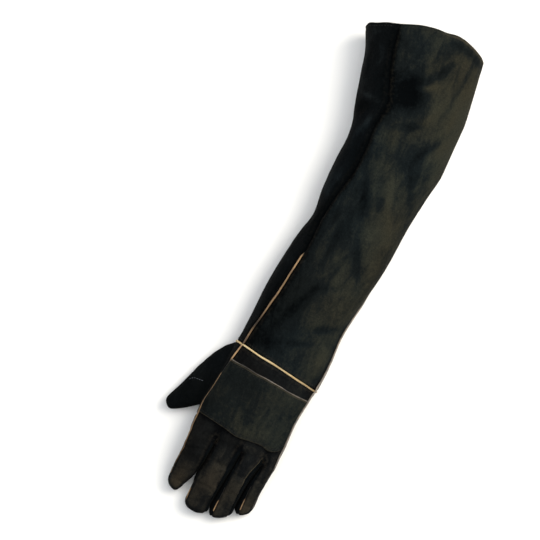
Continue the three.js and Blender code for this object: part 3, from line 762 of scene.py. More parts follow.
def suede(name, deep, middle, light, worn, lining):
    """Black split suede, dyed through and napped: uneven tones from brushing and handling, a short matt nap
    with hardly any shine, fine creases, and browner leather where seams and rims are worn. The same pale mix
    also paints a highlight along the cuff's rim, and the tone mark carries painted light and shade besides
    the leather's own tones."""
    material, tree, place = new_material(name)
    broad = add(tree, "ShaderNodeTexNoise",
                {"Vector": place, "Scale": each(52), "Detail": 4, "Roughness": 0.52})
    stroked = add(tree, "ShaderNodeMapping",
                  {"Vector": place, "Rotation": (0.1, 0.2, 0.25), "Scale": (1, 0.35, 1)})
    strokes = add(tree, "ShaderNodeTexNoise", {"Vector": stroked.outputs[0], "Scale": each(11), "Detail": 4,
                                               "Roughness": 0.65, "Distortion": 0.8})
    # The real nap is 0.3 mm long. It is drawn at 1.1 mm, so that it shows.
    nap = add(tree, "ShaderNodeTexNoise",
              {"Vector": place, "Scale": each(1.1), "Detail": 3, "Roughness": 0.7})
    pores = add(tree, "ShaderNodeTexNoise",
                {"Vector": place, "Scale": each(3.4), "Detail": 3, "Roughness": 0.6})
    pulled = add(tree, "ShaderNodeMapping",
                 {"Vector": place, "Rotation": (0.3, 0.1, 1.1), "Scale": (1, 0.45, 1)})
    wrinkles = add(tree, "ShaderNodeTexNoise", {"Vector": pulled.outputs[0], "Scale": each(5), "Detail": 3,
                                                "Roughness": 0.6, "Distortion": 1.2})
    painted_shade_and_tone, wear_and_highlight, inside = (add(tree, "ShaderNodeAttribute", attribute_name=mark).outputs["Fac"]
                          for mark in ("painted_shade_and_tone", "wear_and_highlight", "lining"))
    # The tone mark holds the leather's own tones and the painted light and shade.
    tone = painted_shade_and_tone
    for pattern, share in ((broad, 0.6), (strokes, 0.5), (pores, 0.22)):
        tone = add(tree, "ShaderNodeMath", {0: pattern.outputs[0], 1: share, 2: tone},
                   operation="MULTIPLY_ADD").outputs[0]
    colour = add(tree, "ShaderNodeValToRGB", {"Fac": tone},
                 [(0.27, linear(deep)), (0.55, linear(middle)), (0.78, linear(light))]).outputs["Color"]
    # Where the tone mark is lower, as in painted shade, the colour turns bluer, and where it is higher,
    # browner.
    hue = add(tree, "ShaderNodeTexNoise", {"Vector": place, "Scale": each(95), "Detail": 2})
    cool = add(tree, "ShaderNodeMath", {0: painted_shade_and_tone, 1: -0.6, 2: hue.outputs[0]}, operation="MULTIPLY_ADD")
    hue = add(tree, "ShaderNodeValToRGB", {"Fac": cool.outputs[0]},
              [(0.36, (1.06, 1.0, 0.9, 1)), (0.7, (0.87, 1.0, 1.06, 1))]).outputs["Color"]
    colour = add(tree, "ShaderNodeMix", {0: 1.0, 6: colour, 7: hue},
                 data_type="RGBA", blend_type="MULTIPLY").outputs[2]
    # The wear mark, with its painted highlight along the cuff's rim, mixes in the worn colour.
    paler_share = add(tree, "ShaderNodeMath", {0: pores.outputs[0], 1: 0.35, 2: wear_and_highlight}, operation="MULTIPLY_ADD")
    paler_share = add(tree, "ShaderNodeMapRange", {"Value": paler_share.outputs[0], "From Min": 0.22, "From Max": 1.2})
    for share, over in ((paler_share.outputs[0], worn), (inside, lining)):
        colour = add(tree, "ShaderNodeMix", {0: share, 6: colour, 7: linear(over)},
                     data_type="RGBA").outputs[2]
    flecks = add(tree, "ShaderNodeValToRGB", {"Fac": nap.outputs[0]},
                 [(0.32, (0.45, 0.46, 0.48, 1)), (0.68, (1.0, 0.99, 0.96, 1))]).outputs["Color"]
    colour = add(tree, "ShaderNodeMix", {0: 1.0, 6: colour, 7: flecks},
                 data_type="RGBA", blend_type="MULTIPLY").outputs[2]
    rough = add(tree, "ShaderNodeMapRange", {"Value": nap.outputs[0], "To Min": 0.82, "To Max": 1.0})
    relief_below = {}
    for pattern, strength, depth in ((wrinkles, 0.45, 0.0014), (pores, 0.5, 0.0009), (nap, 0.6, 0.0005)):
        bump = add(tree, "ShaderNodeBump", {"Height": pattern.outputs[0], "Strength": strength,
                                            "Distance": depth, **relief_below})
        relief_below = {"Normal": bump.outputs[0]}
    shader = add(tree, "ShaderNodeBsdfPrincipled", {
        "Base Color": colour, "Roughness": rough.outputs[0], "Normal": bump.outputs[0],
        "Specular IOR Level": 0.03, "Sheen Weight": 0.014, "Sheen Roughness": 0.35,
        "Sheen Tint": linear("#b9b1a0")})
    add(tree, "ShaderNodeOutputMaterial", {"Surface": shader.outputs[0]})
    return material


def welt_leather(name, fresh, dull, dirt_and_shade, roughness):
    """A strip of tanned leather folded over a cord: a smooth, finely pored face with a low shine, darker
    where handling has soiled it, and darker where it sinks between the panels, which is painted shade."""
    material, tree, place = new_material(name)
    broad = add(tree, "ShaderNodeTexNoise",
                {"Vector": place, "Scale": each(9), "Detail": 3, "Roughness": 0.6})
    pores = add(tree, "ShaderNodeTexVoronoi", {"Vector": place, "Scale": each(0.9)})
    rucked = add(tree, "ShaderNodeTexNoise",
                 {"Vector": place, "Scale": each(2.4), "Detail": 3, "Roughness": 0.6})
    dirt_shade_mark = add(tree, "ShaderNodeAttribute", attribute_name="dirt_and_shade").outputs["Fac"]
    uneven = add(tree, "ShaderNodeMath", {0: rucked.outputs[0], 1: 0.45, 2: broad.outputs[0]},
                 operation="MULTIPLY_ADD")
    colour = add(tree, "ShaderNodeValToRGB", {"Fac": uneven.outputs[0]},
                 [(0.55, linear(dull)), (0.88, linear(fresh))]).outputs["Color"]
    # Soiling, and painted shade where the welt sinks, mix in the dark colour.
    dirt_shade_mix = add(tree, "ShaderNodeMath", {0: broad.outputs[0], 1: 0.3, 2: dirt_shade_mark}, operation="MULTIPLY_ADD")
    dirt_shade_mix = add(tree, "ShaderNodeMapRange", {"Value": dirt_shade_mix.outputs[0], "From Min": 0.15, "From Max": 1.1})
    colour = add(tree, "ShaderNodeMix", {0: dirt_shade_mix.outputs[0], 6: colour, 7: linear(dirt_and_shade)},
                 data_type="RGBA").outputs[2]
    rough = add(tree, "ShaderNodeMapRange",
                {"Value": broad.outputs[0], "To Min": roughness, "To Max": roughness + 0.2})
    folds = add(tree, "ShaderNodeBump", {"Height": rucked.outputs[0], "Strength": 0.6, "Distance": 0.0008})
    bump = add(tree, "ShaderNodeBump", {"Height": pores.outputs[0], "Strength": 0.5, "Distance": 0.0003,
                                       "Normal": folds.outputs[0]})
    shader = add(tree, "ShaderNodeBsdfPrincipled", {
        "Base Color": colour, "Roughness": rough.outputs[0], "Normal": bump.outputs[0],
        "Specular IOR Level": 0.25})
    add(tree, "ShaderNodeOutputMaterial", {"Surface": shader.outputs[0]})
    return material


def thread(name, colour, shadow):
    """Waxed sewing thread, a little uneven in tone where the wax has picked up dust."""
    material, tree, place = new_material(name)
    uneven = add(tree, "ShaderNodeTexNoise", {"Vector": place, "Scale": each(2.2), "Detail": 2})
    tone = add(tree, "ShaderNodeValToRGB", {"Fac": uneven.outputs[0]},
               [(0.35, linear(shadow)), (0.65, linear(colour))]).outputs["Color"]
    bump = add(tree, "ShaderNodeBump", {"Height": uneven.outputs[0], "Strength": 0.3, "Distance": 0.0001})
    shader = add(tree, "ShaderNodeBsdfPrincipled", {
        "Base Color": tone, "Roughness": 0.75, "Normal": bump.outputs[0], "Specular IOR Level": 0.15})
    add(tree, "ShaderNodeOutputMaterial", {"Surface": shader.outputs[0]})
    return material


BACK_SUEDE = suede("brownish_black_napped_suede", "#030506", "#15191a", "#2e2e27", "#4a4437", "#2b251d")
HAND_SUEDE = suede("brown_black_handled_suede", "#070708", "#171717", "#312d27", "#4c463a", "#2b251d")
PALM_SUEDE = suede("bluish_black_napped_suede", "#020405", "#0a0d0f", "#1c2123", "#282622", "#241f19")
# Each welt's third colour is the dark one that soiling and painted shade mix in.
GOLD_WELT = welt_leather("golden_folded_welt_leather", "#dac79c", "#b59866", "#5e4526", 0.45)
TAN_WELT = welt_leather("tan_folded_welt_leather", "#ab8a62", "#806750", "#12100d", 0.5)
GREY_WELT = welt_leather("grey_raw_edge_leather", "#968b7d", "#5f5d5a", "#242321", 0.6)
DARK_THREAD = thread("black_waxed_thread", "#1d1d1c", "#0e0e0e")
PALE_THREAD = thread("dusty_grey_waxed_thread", "#5c6066", "#3a3d42")


# What runs along a path: the piping and the stitches
def new_tree(name, inputs):
    """A geometry tree with these inputs, each a name and a kind, and its input sockets."""
    tree = bpy.data.node_groups.new(name, "GeometryNodeTree")
    tree.interface.new_socket("Geometry", in_out="OUTPUT", socket_type="NodeSocketGeometry")
    for label, kind in (("Path", "Geometry"), *inputs):
        tree.interface.new_socket(label, in_out="INPUT", socket_type="NodeSocket" + kind)
    return tree, add(tree, "NodeGroupInput").outputs


def end_tree(tree, geometry, material):
    """Makes what a tree has laid out one real mesh of this material."""
    real = add(tree, "GeometryNodeRealizeInstances", {"Geometry": geometry})
    coloured = add(tree, "GeometryNodeSetMaterial", {"Geometry": real.outputs[0], "Material": material})
    add(tree, "NodeGroupOutput", {"Geometry": coloured.outputs[0]})
    return tree


def welt_tree():
    """Geometry nodes that lay a round welt of leather along a path, as thick at each place as the path's
    thickness says."""
    tree, given = new_tree("folded_leather_welts", (("Sides", "Int"), ("Leather", "Material")))
    curve = add(tree, "GeometryNodeMeshToCurve", {"Mesh": given["Path"]})
    thick = add(tree, "GeometryNodeInputNamedAttribute", {"Name": "thickness"}, data_type="FLOAT")
    section = add(tree, "GeometryNodeCurvePrimitiveCircle", {"Resolution": given["Sides"], "Radius": 1.0})
    skin = add(tree, "GeometryNodeCurveToMesh", {
        "Curve": curve.outputs[0], "Profile Curve": section.outputs[0], "Scale": thick.outputs[0],
        "Fill Caps": True})
    smooth = add(tree, "GeometryNodeSetShadeSmooth", {"Geometry": skin.outputs[0]})
    return end_tree(tree, smooth.outputs[0], given["Leather"])


def stitch_tree():
    """Geometry nodes that lay stitches of a given length and thickness along paths."""
    tree, given = new_tree("stitch_rows", (("Spacing", "Float"), ("Stitch length", "Float"),
                                           ("Thread thickness", "Float"), ("Thread", "Material")))
    curve = add(tree, "GeometryNodeMeshToCurve", {"Mesh": given["Path"]})
    points = add(tree, "GeometryNodeCurveToPoints",
                 {"Curve": curve.outputs[0], "Length": given["Spacing"]}, mode="LENGTH")
    bead = add(tree, "GeometryNodeMeshUVSphere", {"Segments": 6, "Rings": 5, "Radius": 0.5})
    smooth = add(tree, "GeometryNodeSetShadeSmooth", {"Geometry": bead.outputs[0]})
    size = add(tree, "ShaderNodeCombineXYZ", {"X": given["Thread thickness"], "Y": given["Thread thickness"],
                                              "Z": given["Stitch length"]})
    one = add(tree, "GeometryNodeTransform", {"Geometry": smooth.outputs[0], "Scale": size.outputs[0]})
    uneven = add(tree, "FunctionNodeRandomValue",
                 {"Min": (0.85, 0.85, 0.8), "Max": (1.15, 1.15, 1.1), "Seed": 7}, data_type="FLOAT_VECTOR")
    turned = add(tree, "FunctionNodeAlignRotationToVector", {"Vector": points.outputs["Tangent"]}, axis="Z")
    laid = add(tree, "GeometryNodeInstanceOnPoints", {
        "Points": points.outputs["Points"], "Instance": one.outputs[0], "Rotation": turned.outputs[0],
        "Scale": uneven.outputs[0]})
    return end_tree(tree, laid.outputs[0], given["Thread"])


WELTS, STITCHES = welt_tree(), stitch_tree()


def grown(name, tree, points, ends, values, marks=None):
    """The plain mesh that a geometry tree makes along the paths between places."""
    guide = in_scene(name + "_path", mesh_of(name + "_path", points, ends, (), marks))
    maker = guide.modifiers.new("maker", "NODES")
    maker.node_group = tree
    for item in tree.interface.items_tree:
        if item.in_out == "INPUT" and item.name in values:
            maker[item.identifier] = values[item.name]
    bpy.context.view_layer.update()
    made = bpy.data.meshes.new_from_object(guide.evaluated_get(bpy.context.evaluated_depsgraph_get()))
    bpy.data.objects.remove(guide)
    made.name = name
    return made


# The leather's small hills and hollows, on top of the folds: their height, how far apart they are, how
# fast they change along the glove against across it, and their seed
HILLS = ((1.3, 58, 1, 11), (0.9, 27, 1, 12), (0.55, 13, 0.3, 15), (0.3, 11, 1, 13), (0.14, 5.5, 1, 14))
STITCH_PRESS = 1.1  # how far beside a row of the hem's stitches the leather is pressed in


def relief(p):
    """How far the leather stands out from its even shape at each place."""
    hills = sum(height * soft_noise(p * np.array([1, along, 1]), size, seed)
                for height, size, along, seed in HILLS)
    return hills * smooth_step(1.5, 14, p[..., 2])


def steadied(shift, normals):
    """The leather's hills kept low where the outline from above runs."""
    return shift * (0.3 + 0.7 * smooth_step(0.1, 0.7, np.abs(normals[..., 2])))


def puckers(p, distance):
    """The small gathers that stitches pull into leather beside a seam."""
    near = np.exp(-np.clip(distance, 0, None) / 6)
    return 0.55 * soft_noise(p, 6.5, 21) * near * smooth_step(0.5, 3, p[..., 2])


def rolled_in(distance, depth, width):
    """How far leather has turned down towards a seam, with the low swell beside it."""
    t = np.clip(1 - distance / width, 0, 1)
    return -depth * t * t + 0.3 * hump(distance - width * 1.15, 0.55 * width)


def lie_flat(p):
    """Keeps the leather on or above the surface that it lies on."""
    p = p.copy()
    p[..., 2] = soft_max(p[..., 2], REST_GAP, 1.0)
    return p


# The gauntlet
EDGE_STEPS = np.array([0, 0.4, 0.9, 1.6, 2.4, 3.5]) + SEAM_START  # rows of points beside a seam
RIM_TURN = np.radians([180, 155, 130, 105, 90, 75, 50, 25])  # the leather's turn over the rim
RIM_CREST = 4  # the row of it that stands furthest out
GAUNTLET_ROWS = 190
BACK_COLUMNS, PALM_COLUMNS, HEM_COLUMNS = 84, 96, 220


def panel_places(columns):
    """Where a panel's points lie. For its columns, the share of the way between two seams and the arc in
    from each. For its rows, the turn over the rim, the share of the way to the wrist, and the arc back."""
    inside = np.linspace(0, 1, columns)[1:-1]
    share = np.concatenate([0 * EDGE_STEPS, inside, 0 * EDGE_STEPS + 1])
    arc = np.concatenate([EDGE_STEPS, 0 * inside + EDGE_STEPS[-1], EDGE_STEPS[::-1]])
    down = np.linspace(0, 1, GAUNTLET_ROWS)
    before, after = len(RIM_TURN), len(EDGE_STEPS) - 1
    turn = np.pad(RIM_TURN, (0, len(down) + after))
    along = np.concatenate([np.zeros(before), down, np.ones(after)])
    back = np.concatenate([np.zeros(before), down * EDGE_STEPS[-1], EDGE_STEPS[-2::-1]])
    return share, arc, turn, along, back


def gauntlet_rows(from_angle, to_angle, columns):
    """y, the angle round the body and the turn over the rim at each row and column of a panel."""
    share, arc, turn, along, back = panel_places(columns)

    def angle_at(y):
        first, last = from_angle(y), to_angle(y)
        return (1 - share) * (first + degrees_for(y, first, arc)) + share * (last - degrees_for(y, last, arc))
    rim = rim_at(angle_at(np.full(len(share), float(CUFF["y"])))) - FOLDED_RIM
    end = line_at(WRIST, body_point(WRIST[0], angle_at(np.full(len(share), float(WRIST[0]))))[..., 0])
    y = mix(rim, end, along[:, None]) + back[:, None]
    return y, angle_at(y), turn[:, None]


def row_lengths(grid, axis):
    """The distance along a grid from its first line, on one of its axes."""
    steps = np.linalg.norm(np.diff(grid, axis=axis), axis=-1)
    start = np.zeros_like(np.take(steps, [0], axis=axis))
    return np.concatenate([start, np.cumsum(steps, axis=axis)], axis=axis)


def panel_distances(outer):
    """The distances along a panel's leather from its two side seams, its wrist seam and its rim."""
    across, down = row_lengths(outer, 1), row_lengths(outer, 0)
    return {"first": across + SEAM_START, "last": across[:, -1:] - across + SEAM_START,
            "wrist": down[-1:] - down + SEAM_START, "rim": down - down[RIM_CREST]}


def piped_seam(y):
    """How deep and how wide leather rolls in along a seam with piping."""
    return PIPED[0] + 0 * y, PIPED[1] + 0 * y


def folded_thumb_seam(y):
    """Towards the cuff the thumb-side seam is folded in, and its piping hidden."""
    hidden = smooth_step(0, 30, y)
    return PIPED[0] + 1.6 * hidden, PIPED[1] + 3.2 * hidden


def panel_relief(anchor, normals, from_edges, rolls):
    """How far a panel's leather stands out: its hills, the puckers beside its seams, its rolls down into
    them, the line that the hem's stitches press in, and the gathers at the wrist."""
    seams = [from_edges[name] for name in ("first", "last", "wrist")]
    shift = relief(anchor) + puckers(anchor, np.minimum.reduce(seams))
    gathers = soft_noise(anchor * np.array([0.4, 1, 0.7]), 8, 23)
    shift = shift + 0.8 * gathers * np.exp(-from_edges["wrist"] / 22) * smooth_step(3, 20, anchor[..., 2])
    shift = steadied(shift, normals)
    for distance, (depth, width) in zip(seams, rolls):
        shift = shift + rolled_in(distance, depth, width)
    return shift - 0.5 * hump(from_edges["rim"] - HEM_STITCHES, STITCH_PRESS)


def gauntlet_panel(from_angle, to_angle, columns, rolls):
    """A panel's outer and inner skins as grids, with the distances from its seams and its rim. rolls
    gives how the leather rolls in at its first and last seam."""
    y, angle, turn = gauntlet_rows(from_angle, to_angle, columns)
    outer, inner = (body_point(y + radius * np.sin(turn), angle, inset + radius * (1 - np.cos(turn)))
                    for radius, inset in ((FOLDED_RIM, 0.0), (FOLDED_RIM - LEATHER, LEATHER)))
    turned = len(RIM_TURN)
    anchor = body_point(y, angle)
    anchor[:turned] = anchor[turned]
    normals = grid_normals(anchor[turned:])
    normals = np.concatenate([np.repeat(normals[:1], turned, axis=0), normals])
    from_edges = panel_distances(outer)
    shift = panel_relief(anchor, normals, from_edges, [*(roll(y) for roll in rolls), piped_seam(y)])
    inner = inner + normals * shift[..., None]
    inner[..., 2] = np.maximum(inner[..., 2], 1.2)
    return {"outer": lie_flat(outer + normals * shift[..., None]), "inner": inner, **from_edges}


def palm_side_shading_tone(p):
    """Bluish black, a little lighter higher up as painted light, with painted highlights on the folds' crests
    and painted shade in their hollows.
    """
    x, y, z = p[..., 0], p[..., 1], p[..., 2]
    # Painted highlights on the folds' crests and painted shade in their hollows.
    folded = 0.2 * np.clip(fold_depth(x, y) / 4, -1, 1.4) * smooth_step(30, 60, z)
    return 0.04 * smooth_step(10, 60, z) - folded - 0.17 + fold_depth(x, y, NAP_TONES_AND_SHADE)


def cuff_shading_tone(p):
    """Lighter and browner towards the little finger's side and on what stands up, which is painted light,
    with painted shade in the folds' hollows and painted highlights on their crests, and darker towards the
    wrist."""
    x, y = p[..., 0], p[..., 1]
    # across and high make the little finger's side and what stands up lighter: painted light.
    across = (x - (body["left"](y) + body["right"](y)) / 2) / 60
    # Painted shade in the folds' hollows and painted highlights on their crests.
    folded = 0.24 * np.clip(fold_depth(x, y) / 4, -1, 1.6)
    towards_wrist = 0.08 * smooth_step(-30, -80, y)
    high = 0.1 * smooth_step(20, 75, p[..., 2])
    return 0.18 * across + high - folded - towards_wrist - 0.14 + fold_depth(x, y, NAP_TONES_AND_SHADE)


def panel_marks(panel, tone_with_shade):
    """The worn places, lining and tone of a panel's outer and inner points, with a painted highlight along
    the rim, and painted shade beside the side seams and below the rim.
    """
    x, rim = panel["outer"][..., 0], panel["rim"]
    from_sides = np.minimum(panel["first"], panel["last"])
    wear_and_highlight = 0.1 * hump(np.minimum(from_sides, panel["wrist"]) - 4, 2.4) + 0.2 * hump(rim, 1.4)
    # A painted highlight: a pale line along the rim's roll on the little finger's side.
    wear_and_highlight = wear_and_highlight + 0.6 * smooth_step(0, 40, x) * hump(rim - 3.4, 0.9)
    # pressed is painted shade beside the side seams.
    pressed = 0.4 * hump(from_sides, 6)
    # Painted shade in a band below the rim on the little finger's side.
    painted_shade_below_rim = 0.2 * smooth_step(15, 40, x) * hump(rim - 11, 6)
    return two_sided(wear_and_highlight.ravel(), (tone_with_shade(panel["outer"]) - pressed - painted_shade_below_rim).ravel())


def two_sided(wear_and_highlight, painted_shade_and_tone):
    """Marks for a wall: dyed and worn outside, with any painted highlight, bare flesh-side leather inside."""
    return {"wear_and_highlight": np.concatenate([wear_and_highlight, 0 * wear_and_highlight]), "lining": np.repeat([0.0, 1.0], len(wear_and_highlight)),
            "painted_shade_and_tone": np.concatenate([painted_shade_and_tone, painted_shade_and_tone])}


def line_on(panel, name, distance):
    """The line on a panel's outer skin that keeps a distance from its rim or its wrist end."""
    line = []
    clear = slice(len(EDGE_STEPS) + 1, -len(EDGE_STEPS) - 1)  # of the rolls at the side seams
    for place, value in zip(panel["outer"].transpose(1, 0, 2)[clear], panel[name].T[clear]):
        order = np.argsort(value)
        line.append([np.interp(distance, value[order], place[order, k]) for k in range(3)])
    return evened(line, 1.5)


def add_gauntlet_panel(node, panel, material, tone_with_shade):
    faces = grid_faces(*panel["outer"].shape[:2])
    points, faces = wall(panel["outer"].reshape(-1, 3), faces, panel["inner"].reshape(-1, 3))
    add_piece(node + "_panel", points, faces, material, [node], panel_marks(panel, tone_with_shade))


def add_cuff_hem():
    """The rim's leather, turned in and sewn down inside the cuff."""
    reach = np.linspace(0.1, HEM_WIDTH - FOLDED_RIM, 9)[:, None]
    angle = np.broadcast_to(np.linspace(0, 360, HEM_COLUMNS, endpoint=False), (len(reach), HEM_COLUMNS))
    y = rim_at(angle) - FOLDED_RIM - reach
    base = body_point(y, angle)
    normals = grid_normals(base, wrap=True)
    pressed = 0.3 * hump(reach - HEM_STITCHES + FOLDED_RIM, STITCH_PRESS)
    shift = (steadied(relief(base), normals) - pressed)[..., None] * normals
    thickness = np.full((len(reach), 1), 2 * FOLDED_RIM)
    thickness[-1] -= 0.5
    facing_in = body_point(y, angle, thickness) + shift
    facing_out = body_point(y, angle, LEATHER + 0.5) + shift
    faces = grid_faces(len(reach), HEM_COLUMNS, wrap=True)
    points, walls = wall(facing_in.reshape(-1, 3), faces[:, ::-1], facing_out.reshape(-1, 3))
    worn = np.zeros((len(reach), HEM_COLUMNS))
    worn[-1] = 0.7
    marks = {"wear_and_highlight": np.tile(worn.ravel(), 2), "lining": np.full(2 * worn.size, 0.35),
             "painted_shade_and_tone": np.zeros(2 * worn.size)}
    add_piece("cuff_hem_fold", points, walls, BACK_SUEDE, ["cuff_hem"], marks)


def sewn(one, other, folded):
    """Brings two panels' leather together inside the seam where the first panel ends and the other starts,
    and outside it where the seam is folded in."""
    hidden = folded * smooth_step(0, 30, one["outer"][:, -1, 1])
    for skin, share in (("inner", 1), ("outer", 0.85 * hidden[:, None])):
        joint = (one[skin][:, -1] + other[skin][:, 0]) / 2
        for panel, side, column in ((one, "last", -1), (other, "first", 0)):
            pull = share * np.exp(-(panel[side] - SEAM_START) / 2.0)
            panel[skin] += pull[..., None] * (joint - panel[skin][:, column])[:, None]


def make_gauntlet():
    """The two panels and the hem. The panels are given back, for the stitches."""
    back = gauntlet_panel(little_seam_angle, thumb_seam_angle, BACK_COLUMNS, (piped_seam, folded_thumb_seam))
    palm = gauntlet_panel(thumb_seam_angle, lambda y: 360 + little_seam_angle(y), PALM_COLUMNS,
                          (folded_thumb_seam, piped_seam))
    sewn(back, palm, True)
    sewn(palm, back, False)
    add_gauntlet_panel("gauntlet_back", back, BACK_SUEDE, cuff_shading_tone)
    add_gauntlet_panel("gauntlet_palm", palm, PALM_SUEDE, palm_side_shading_tone)
    add_cuff_hem()
    return back, palm


# The hand: one skin, cut into its panels
HAND_CELL = 1.3
HAND_LOW, HAND_HIGH = (-118, -309, -3), (62, -94, 72)
CREASES = (  # across fingers: which, place from above, slant, depth, width
    (0, -236, 0.15, 0.9, 2.2), (0, -262, 0.1, 0.6, 1.8),
    (1, -240, 0.05, 1.0, 2.4), (1, -270, -0.1, 0.7, 2.0),
    (2, -243, -0.1, 0.9, 2.2), (2, -266, 0.1, 0.6, 1.8),
    (3, -240, -0.15, 0.8, 2.0), (3, -262, 0.1, 0.5, 1.8),
)
STRIPS = [strip_line(i) for i in range(3)]


def facing_a_neighbour(p, normals):
    """1 where a finger's side lies against the next finger, and 0 elsewhere."""
    sides = closed_sides(p[..., 1])
    among = (p[..., 0] > sides[1] - 3) & (p[..., 0] < sides[6] + 3) & (p[..., 1] < -206)
    return among * smooth_step(0.55, 0.9, np.abs(normals[..., 0]))


def hand_relief(p):
    """How far the hand's leather stands out: its hills, the hollows of its back and the fingers' creases."""
    shift = relief(p) * mix(1, 0.55, smooth_step(-105, -150, p[..., 1]))
    x, y, z = p[..., 0], p[..., 1], p[..., 2]
    shift = shift - fold_depth(x, y, HAND_FOLDS) * smooth_step(0, 8, z - seam_height(p))
    for i, place, slant, depth, width in CREASES:
        middle, half, height, _ = finger_section(FINGERS[i], y)
        on = depth * smooth_step(1.25, 0.9, np.abs(x - middle) / half) * smooth_step(-2, 4, z - height)
        wobble = 1.5 * soft_noise(p, 9, 31 + i)
        across = (y - place - slant * (x - middle) - wobble) / width
        shift = shift - on * (hump(across, 1) - 0.35 * hump(np.abs(across) - 2.2, 1.2))
    return shift


def seam_distance(field, p, normals):
    """The distance along the leather from a seam, where the seam is a field's zero level."""
    slope = gradient(field, p, 0.5)
    slope = slope - normals * (slope * normals).sum(-1, keepdims=True)
    return np.abs(field(p)) / np.maximum(np.linalg.norm(slope, axis=-1), 0.35)


def hand_skin():
    """The hand's whole skin: rows of places and ways out, and triangles."""
    spread, faces = zero_surface(hand_field, HAND_LOW, HAND_HIGH, HAND_CELL)
    points = narrowed(settled(spread, hand_field))
    return np.concatenate([points, vertex_normals(points, faces)], axis=1), faces


def cut(piece, field):
    rows, faces = piece
    return split(rows, faces, field(rows[:, :3]))


def cut_hand():
    """The hand's skin cut into its seven panels, by name."""
    pieces = {}
    skin, _ = cut(hand_skin(), wrist_line)
    for name, field in zip(STRIP_NAMES, STRIPS):
        pieces[name], skin = cut(skin, field)
    below, pieces["hand_back"] = cut(skin, side_line)
    wing, pieces["hand_palm"] = cut(below, thumb_line)
    pieces["thumb_front"], pieces["thumb_back"] = cut(wing, thumb_split_line)
    return pieces


def hand_panel(piece, seams):
    """A panel's finished outer skin: places, places before its relief, ways out, triangles, and how far
    its nearest seam is. seams are pairs of a seam's field and how the leather rolls in there."""
    rows, faces = piece
    flat, normals = rows[:, :3], unit(rows[:, 3:6])
    nearest, roll = np.full(len(flat), 99.0), np.zeros(len(flat))
    for field, (depth, width) in seams:
        distance = seam_distance(field, flat, normals)
        roll = np.where(distance < nearest, rolled_in(distance, depth, width), roll)
        nearest = np.minimum(nearest, distance)
    shift = steadied(hand_relief(flat), normals) + 0.6 * puckers(flat, nearest) + roll
    shift = mix(shift, np.clip(shift, -0.05, 0), facing_a_neighbour(flat, normals))
    return {"points": lie_flat(flat + normals * shift[:, None]), "flat": flat, "normals": normals,
            "faces": faces, "near": nearest}


def hand_shading_tone(p, normals):
    """Browner towards the tips, as the nap has worn there, and lighter towards the little finger's side,
    which is painted light. Painted shade in the hollows and on the fingers' sides, a painted shadow under the
    patch's lower edge, and darker between the wrist and the patch."""
    x, y = p[..., 0], p[..., 1]
    # worn: the lighter little finger's side is painted light, the browner tips are the nap's own wear.
    worn = 0.1 * smooth_step(-60, 35, x) + 0.22 * smooth_step(-232, -280, y)
    under_patch = patch_end(x) - y
    # pressed: painted shade in the hollows and on the fingers' sides, and a painted shadow under the patch's
    # lower edge.
    pressed = (0.07 * np.clip(fold_depth(x, y, HAND_FOLDS), 0, 4)
               + 0.32 * smooth_step(0.95, 0.35, normals[..., 2])
               + 0.2 * smooth_step(7, 0, under_patch) * smooth_step(-3, 0, under_patch))
    return worn - pressed - 0.17 - 0.06 * smooth_step(-150, -130, y) + fold_depth(x, y, NAP_TONES_AND_SHADE)


def even(level):
    """The same tone all over."""
    return lambda p, normals: level + 0 * p[..., 0]


def pale_ring_seam_line(p):
    """A pale line along the seam down the ring finger's right side."""
    x, y = p[:, 0], p[:, 1]
    along = smooth_step(-213, -219, y) * smooth_step(-262, -240, y)
    return 1.3 * hump(x - strip_edges(2, y)[0], 1.0) * along


def at_a_web(p):
    """1 by the webs between the fingers, where the leather is pinched thin, and 0 elsewhere."""
    x, y = p[..., 0], p[..., 1]
    sides = closed_sides(y)
    near = np.minimum.reduce([np.abs(x - (sides[i] + sides[i + 1]) / 2) for i in (1, 3, 5)])
    return smooth_step(5, 2, near) * smooth_step(-202, -207, y) * smooth_step(-232, -226, y)


def add_hand_panel(node, panel, material, tone_with_shade, thickness=2.0, paler_share=0.0):
    thickness = thickness * (1 - 0.85 * at_a_web(panel["flat"]))
    inner = panel["points"] - panel["normals"] * thickness[:, None]
    points, faces = wall(panel["points"], panel["faces"], inner)
    wear_and_highlight = 0.12 * hump(panel["near"] - 3.6, 2) + paler_share
    marks = two_sided(wear_and_highlight, tone_with_shade(panel["points"], panel["normals"]))
    add_piece(node + "_panel", points, faces, material, [node], marks)


def make_hand():
    """The panels of hand, fingers and thumb. The back's and the thumb's are given back."""
    pieces = cut_hand()
    side, wrist = (side_line, PIPED), (wrist_line, PIPED)
    palm_seam, thumb_seam = (thumb_line, PLAIN), (thumb_split_line, PLAIN)
    between = [(field, PLAIN) for field in STRIPS]
    back = hand_panel(pieces["hand_back"], [side, wrist, *between])
    palm = hand_panel(pieces["hand_palm"], [side, wrist, palm_seam, *between])
    thumb_back = hand_panel(pieces["thumb_back"], [side, wrist, palm_seam, thumb_seam])
    thumb_front = hand_panel(pieces["thumb_front"], [wrist, palm_seam, thumb_seam])
    add_hand_panel("hand_back", back, HAND_SUEDE, hand_shading_tone,
                   paler_share=pale_ring_seam_line(back["flat"]))
    add_hand_panel("hand_palm", palm, PALM_SUEDE, even(0))
    add_hand_panel("thumb_back", thumb_back, PALM_SUEDE, even(-0.14))
    add_hand_panel("thumb_front", thumb_front, PALM_SUEDE, even(-0.14))
    for name, seam in zip(STRIP_NAMES, between):
        add_hand_panel(name, hand_panel(pieces[name], [seam]), PALM_SUEDE, even(-0.2), 1.4)
    return back, thumb_back


